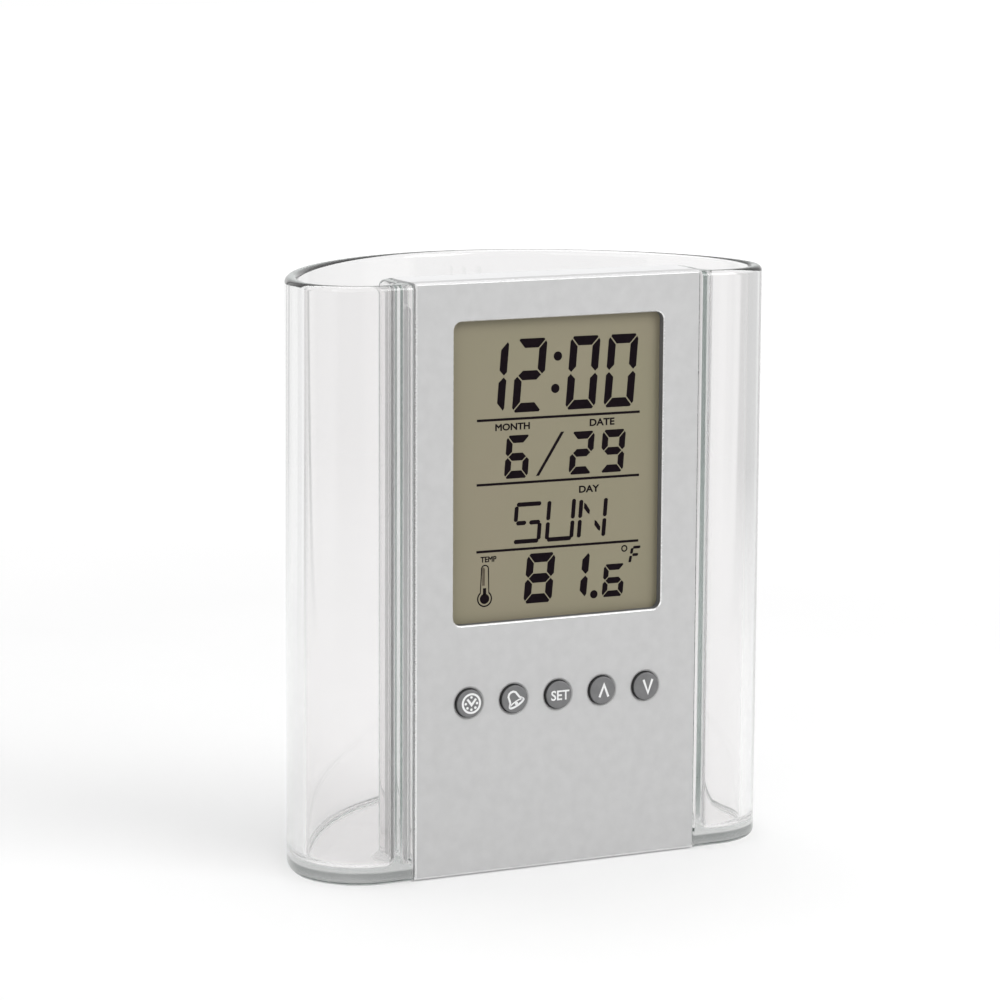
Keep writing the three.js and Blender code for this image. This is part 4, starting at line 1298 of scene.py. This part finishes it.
@dataclass(frozen=True)
class Print:
    """A printed mark, in places from the middle of its key."""

    lines: tuple[Line, ...]
    dots: tuple[Dot, ...] = ()

    def moved(self, turn: float, across: float, up: float) -> "Print":
        """Turns the mark by degrees about its middle and then moves it.

        Args:
            turn: Degrees to the left.
            across: Distance to the right in mm.
            up: Distance up in mm.

        Returns:
            The moved mark.
        """
        matrix = Matrix.Rotation(math.radians(turn), 2)

        def lay(points: Outline) -> list[Point]:
            """Turns and moves points."""
            ways = [matrix @ Vector(point) for point in points]
            return [(across + way.x, up + way.y) for way in ways]

        lines = tuple(replace(line, points=lay(line.points)) for line in self.lines)
        return Print(lines, tuple(replace(dot, middle=lay([dot.middle])[0]) for dot in self.dots))


BELL_SIDE = ((0, 1.6), (0.5, 1.48), (0.88, 1.1), (1.0, 0.45), (1.13, -0.2), (1.66, -0.92))
BELL_CROWN = [*((-x, z) for x, z in reversed(BELL_SIDE[1:])), *BELL_SIDE]
BELL_MOUTH = [(1.66 * x, 0.42 * z - 1.02) for x, z in arc((0, 0), 1, -12, -168, 13)]
BELL_LIP = ((1.55, -0.86), (0.9, -0.62), (0, -0.55), (-0.9, -0.62), (-1.55, -0.86))
# Eight places round the dial. The second and the fourth, where the hands end, have no tick.
DIAL_TICKS = [(1.2 * x, 1.22 * z) for x, z in circle((0, 0), 1, 8)]
DIAL_HANDS = ((-0.85, 0.9), (0.03, -0.3), (0.98, 0.9))
PRINTS = {
    Mark.CLOCK: Print(
        (Line(circle((0, 0), 1.84, 40), closed=True), Line(DIAL_HANDS, 0.46)),
        tuple(Dot(tick, 0.27, 12) for tick in (DIAL_TICKS[0], DIAL_TICKS[2], *DIAL_TICKS[4:])),
    ).moved(0, 0.26, 0),
    Mark.BELL: Print(
        (Line([*BELL_CROWN, *BELL_MOUTH], closed=True), Line(BELL_LIP, 0.26)),
        (Dot((-0.05, -0.98), 0.36, 14),),
    ).moved(29, -0.1, 0.02),
    Mark.UP: Print((Line(((-0.77, -1.32), (0.24, 1.12), (1.2, -1.32)), 0.48),)),
    Mark.DOWN: Print((Line(((-0.63, 1.34), (0.38, -1.34), (1.34, 1.34)), 0.48),)),
}


@dataclass
class Keypad:
    """The five rubber keys and the marks printed on them."""

    pitch: float = 9.6
    row: float = 34.4
    radius: float = 2.8
    rounding: float = 0.34
    flange: float = 3.75
    flange_depths: Point = (1.7, 2.6)
    pill: float = 2.2
    pill_depth: float = 4.3
    face: float = -0.62
    print_depth: float = 0.015
    sides: int = 64
    side_slope: float = 0.6
    soft_edge: float = 0.08
    sharp: float = 50
    rounding_steps: int = 5
    word_corner: Point = (-1.74, -1.1)
    word_size: Point = (3.95, 2.0)
    word_weight: float = 0.02

    def middles(self) -> list[Point]:
        """Gives the keys' places across and heights, from the left."""
        return [((index - len(Mark) // 2) * self.pitch, self.row) for index in range(len(Mark))]

    def depths(self) -> Point:
        """Gives the depths of the print's front and back."""
        return self.face - self.print_depth, self.face

    def key(self, middle: Point, mark: Mark) -> None:
        """Builds one key and stands it in for its CAD node.

        Args:
            middle: Place across and height of its middle.
            mark: The mark that it carries.
        """
        soft = self.rounding
        edge = arc((self.radius - soft, self.face + soft), soft, -90, 0, self.rounding_steps)
        profile = [(0, self.face), (self.radius - 2 * soft, self.face), *edge]
        profile += [(self.radius, self.flange_depths[0]), (self.flange, self.flange_depths[0])]
        profile += [(self.flange, self.flange_depths[1]), (self.pill, self.flange_depths[1])]
        profile += [(self.pill, self.pill_depth), (0, self.pill_depth)]
        piece = Piece(f"key_{mark.value}")
        piece.lathe(middle, profile, self.sides)
        made = piece.done()
        soften(made, self.soft_edge, self.sharp)
        settle(made)
        finish_piece(made, Look.KEY, f"key_{mark.value}")
        # Painted shade: the keys' side walls get the near-black copy of the rubber.
        made.data.materials.append(Look.KEY_SIDE_SHADE.value.material())
        for face in made.data.polygons:
            if abs(face.normal.y) < self.side_slope:
                face.material_index = 1
        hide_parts(f"button_{mark.value}")

    def draw(self, name: str, middle: Point, mark: Print) -> Thing:
        """Draws a mark of lines and dots on a key.

        Args:
            name: Name of the piece.
            middle: Place across and height of the key's middle.
            mark: The mark.

        Returns:
            The piece.
        """
        piece = Piece(name)
        mark = mark.moved(0, *middle)
        for line in mark.lines:
            half = line.width / 2
            left, right = (offset(line.points, side, line.closed) for side in (half, -half))
            if line.closed:
                piece.hoop(left, right, *self.depths())
            else:
                piece.prism([*left, *reversed(right)], *self.depths())
        for dot in mark.dots:
            piece.prism(circle(dot.middle, dot.radius, dot.sides), *self.depths())
        return piece.done()

    def print_mark(self, middle: Point, mark: Mark) -> None:
        """Prints a key's mark as thin white ink that rides on the key.

        Args:
            middle: Place across and height of the key's middle.
            mark: The mark.
        """
        name = f"print_{mark.value}"
        if mark is Mark.SET:
            corner = (middle[0] + self.word_corner[0], middle[1] + self.word_corner[1])
            word = Lettering("SET", corner, self.word_size, self.depths(), self.word_weight)
            made = word.build(name)
        else:
            made = self.draw(name, middle, PRINTS[mark])
        finish_piece(made, Look.PRINT, f"key_{mark.value}")

    def build(self) -> None:
        """Builds the keys and their marks."""
        for middle, mark in zip(self.middles(), Mark):
            self.key(middle, mark)
            self.print_mark(middle, mark)


@dataclass
class FrontPanel:
    """The silver panel with a painted highlight on its edges, painted shade on its window recess
    walls, and its key holes.
    """

    window_half: float = 22.5
    window_heights: Point = (49.7, 108.5)
    plate: float = 1.6
    recess: float = 1.85
    hole: float = 3.05
    hole_refined: float = 2.9
    hole_reach: float = 3.6
    near: float = 0.06
    soft_edge: float = 0.05
    sharp: float = 30
    slants: Point = (0.3, 0.95)

    def tighten_holes(self, mesh: bmesh.types.BMesh, keypad: Keypad) -> None:
        """Moves the walls of the key holes close to the keys.

        Args:
            mesh: The panel's mesh.
            keypad: The keypad, for the places of its keys.
        """
        for vertex in mesh.verts:
            if vertex.co.y / MM - FRONT_FACE > self.plate + self.near:
                continue
            for x, z in keypad.middles():
                away = Vector((vertex.co.x / MM - x, 0, vertex.co.z / MM - z))
                if self.hole - self.near < away.length < self.hole + self.near:
                    vertex.co += away.normalized() * (self.hole_refined - away.length) * MM

    def look(self, face: bmesh.types.BMFace, keypad: Keypad) -> Look:
        """Gives the finish of one face by where it is and which way it points, with painted shade
        on the recess walls and a painted highlight on the edges.

        Args:
            face: The face.
            keypad: The keypad, for the places of its keys.

        Returns:
            The finish.
        """
        middle = face.calc_center_median() / MM
        low, high = self.window_heights
        level = low - self.near < middle.z < high + self.near
        inside = abs(middle.x) < self.window_half + self.near and level
        depth = middle.y - FRONT_FACE
        # Painted shade on the walls of the window recess.
        if inside and abs(face.normal.y) < self.slants[0] and depth < self.recess:
            return Look.RECESS_SHADE
        holes = (Vector((middle.x - x, middle.z - z)).length for x, z in keypad.middles())
        # Painted highlight on the slanted edges away from the key holes.
        if self.slants[0] < -face.normal.y < self.slants[1] and min(holes) > self.hole_reach:
            return Look.EDGE
        return Look.PANEL

    def build(self, keypad: Keypad) -> None:
        """Refines a copy of the panel's mesh and stands it in for the CAD node.

        Args:
            keypad: The keypad, for the places of its keys.
        """
        looks = (Look.PANEL, Look.EDGE, Look.RECESS_SHADE)
        piece = Piece("silver_panel")
        piece.mesh.from_mesh(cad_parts["front_panel"].data)
        bmesh.ops.remove_doubles(piece.mesh, verts=piece.mesh.verts, dist=WELD_DISTANCE)
        self.tighten_holes(piece.mesh, keypad)
        piece.mesh.normal_update()
        for face in piece.mesh.faces:
            face.material_index = looks.index(self.look(face, keypad))
        made = piece.done()
        for look in looks:
            made.data.materials.append(look.value.material())
        soften(made, self.soft_edge, self.sharp)
        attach(made, "clock_module")
        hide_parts("front_panel")
        LOG.info("made %s with %d faces", made.name, len(made.data.polygons))


NODE_LOOKS = {
    Look.CASE: ("rear_case", "battery_door"),
    Look.SCREW: ("case_screw", "board_screw"),
    Look.FILM: ("lcd_front_film", "lcd_reflector"),
    Look.GLASS: ("lcd_front_glass", "lcd_rear_glass"),
    Look.WHITE: ("lcd_frame",),
    Look.ZEBRA: ("zebra_strip",),
    Look.BOARD: ("circuit_board",),
    Look.RESIN: ("chip_blob", "thermistor"),
    Look.CELL: ("quartz_crystal", "battery_cell"),
    Look.KEY: ("keypad_web",),
    Look.BRASS: ("battery_contact", "battery_bridge", "buzzer_disc"),
    Look.RED_WIRE: ("buzzer_wire_red",),
    Look.BLACK_WIRE: ("buzzer_wire_black",),
}
NODE_EDGES = {Look.CASE: 0.12, Look.SCREW: 0.06}


@dataclass
class ClockModule:
    """The CAD pieces of the clock module, whose finish goes by how their names start."""

    soft_edge: float = 0.04

    def build(self) -> None:
        """Gives every CAD node that still shows its finish and its soft edges."""
        for name, node in sorted(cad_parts.items()):
            for look, starts in NODE_LOOKS.items():
                if name.startswith(starts):
                    dress(node, look)
                    soften(node, NODE_EDGES.get(look, self.soft_edge))
                    LOG.info("dressed %s", name)


@dataclass(frozen=True)
class Lamp:
    """A soft square lamp, in metres and watts."""

    name: str
    at: Triple
    size: float
    power: float

    def build(self, aim: Triple) -> None:
        """Hangs the lamp and points it.

        Args:
            aim: The place that it points to, in metres.
        """
        data = bpy.data.lights.new(self.name, "AREA")
        data.size = self.size
        data.energy = self.power
        lamp = show(self.name, data)
        lamp.location = self.at
        lamp.rotation_euler = (Vector(aim) - Vector(self.at)).to_track_quat("-Z", "Y").to_euler()
        lamp.visible_camera = False


@dataclass
class Studio:
    """The floor, the backdrop, the lamps and the camera."""

    camera_at: Triple = (-329.2, -655.15, 196.33)
    right: Triple = (0.9007555, -0.4342955, 0.0051854)
    up: Triple = (0.0676346, 0.1520515, 0.9860557)
    back: Triple = (-0.4290281, -0.8878444, 0.1663346)
    lens: float = 138.299
    sensor_width: float = 36
    shift: Point = (-0.0006, 0.0006)
    clip: Point = (0.01, 30)
    floor_size: float = 8
    floor_greys: Point = (0.79, 0.81)
    floor_blot: float = 40
    floor_roughness: float = 0.9
    fill: float = 0.57
    lift: Point = (0.2, 0.7)
    lift_reach: Point = (0.25, 1.3)
    band_reach: Point = (0.2, 0.5)
    bounces: int = 32
    aim: Triple = (0, 0, 0.06)
    lamps: tuple[Lamp, ...] = (
        Lamp("key_lamp", (0.55, -0.75, 0.75), 0.6, 5.2),
        Lamp("fill_lamp", (-0.7, -0.6, 0.5), 0.7, 1.3),
        Lamp("top_lamp", (0.0, 0.25, 0.95), 0.7, 2.4),
    )
    bearings: tuple[Point, ...] = (
        (-180, 0.6), (-122, 0.6), (-112, 1), (-54, 1), (-50, 0.35), (-40, 0.35),
        (-36, 1), (-2.6, 1), (-1.8, 0.45), (2, 0.45), (2.6, 1), (47, 1),
        (52, 0.72), (100, 0.72), (108, 1), (165, 1), (172, 0.6), (180, 0.6),
    )

    def camera(self) -> None:
        """Sets the camera at the photograph's viewing angle."""
        data = bpy.data.cameras.new("camera")
        data.lens = self.lens
        data.sensor_width = self.sensor_width
        data.sensor_fit = "HORIZONTAL"
        data.shift_x, data.shift_y = self.shift
        data.clip_start, data.clip_end = self.clip
        camera = show("camera", data)
        turn = Matrix((self.right, self.up, self.back)).transposed().to_4x4()
        camera.matrix_world = Matrix.Translation(place(*self.camera_at)) @ turn
        bpy.context.scene.camera = camera

    def surroundings(self, tree: Tree, way: Socket) -> Socket:
        """Gives how bright the studio is all round, as seen through clear pieces and off gloss.

        Args:
            tree: The node tree to lay it out in.
            way: Directions or places whose bearing counts.

        Returns:
            The brightness, by bearing.
        """
        split = tree.add("ShaderNodeSeparateXYZ", Vector=way)
        bearing = tree.sum("ARCTAN2", split.outputs["X"], split.outputs["Y"])
        share = tree.stretch(bearing, (-math.pi, math.pi), (0, 1))
        return tree.ramp(share, [(degrees / 360 + 0.5, level) for degrees, level in self.bearings])

    def floor(self) -> None:
        """Lays a wide pale floor that keeps the object's shadow."""
        piece = Piece("floor")
        half = self.floor_size / 2
        corners = ((-half, -half), (half, -half), (half, half), (-half, half))
        piece.cap(piece.ring(Vector((x, y, 0)) for x, y in corners))
        floor = piece.done()
        nodes = Nodes("floor")
        dark, light = map(grey, self.floor_greys)
        nodes.set(
            Base_Color=nodes.blend(nodes.noise(self.floor_blot, detail=2), dark, light),
            Roughness=self.floor_roughness,
            Specular_IOR_Level=0,
        )
        path = nodes.add("ShaderNodeLightPath").outputs
        bent = nodes.sum("MAXIMUM", path["Is Glossy Ray"], path["Is Transmission Ray"])
        seen = nodes.sum("MAXIMUM", path["Is Camera Ray"], bent)
        away = nodes.add("ShaderNodeVectorMath", Vector=nodes.places)
        away.operation = "LENGTH"
        reach = away.outputs["Value"]
        lift = nodes.stretch(reach, self.lift_reach, self.lift)
        glow = nodes.join("ShaderNodeEmission", WHITE, nodes.sum("MULTIPLY", seen, lift))
        both = nodes.join("ShaderNodeAddShader", nodes.shader.outputs[0], glow)
        far = nodes.sum("MULTIPLY", bent, nodes.stretch(reach, self.band_reach, (0, 1)))
        bands = nodes.join("ShaderNodeEmission", self.surroundings(nodes, nodes.places), 1)
        nodes.surface(nodes.join("ShaderNodeMixShader", far, both, bands))
        floor.data.materials.append(nodes.material)

    def world(self) -> None:
        """Sets the white surroundings, with darker bands that clear edges pick up."""
        world = bpy.data.worlds.new("surroundings")
        world.use_nodes = True
        bpy.context.scene.world = world
        tree = Tree(world.node_tree)
        path = tree.add("ShaderNodeLightPath").outputs
        bent = tree.sum("MAXIMUM", path["Is Glossy Ray"], path["Is Transmission Ray"])
        way = tree.add("ShaderNodeTexCoord").outputs["Generated"]
        lit = tree.mix(bent, (*grey(self.fill), 1), self.surroundings(tree, way))
        shown = tree.mix(path["Is Camera Ray"], lit, WHITE)
        tree.feed(tree.tree.nodes["Background"].inputs["Color"], shown)

    def build(self) -> None:
        """Sets up the studio."""
        self.camera()
        self.floor()
        self.world()
        for lamp in self.lamps:
            lamp.build(self.aim)
        bpy.context.scene.view_settings.view_transform = "Standard"
        paths = bpy.context.scene.cycles
        paths.max_bounces = paths.glossy_bounces = paths.transmission_bounces = self.bounces


def main() -> None:
    """Builds the object and its studio."""
    logging.basicConfig(level=logging.INFO, format="%(name)s: %(message)s")
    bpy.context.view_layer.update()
    ClearCup().build()
    keypad = Keypad()
    FrontPanel().build(keypad)
    ClockModule().build()
    Display().build()
    keypad.build()
    Studio().build()


if __name__ == "__main__":
    main()
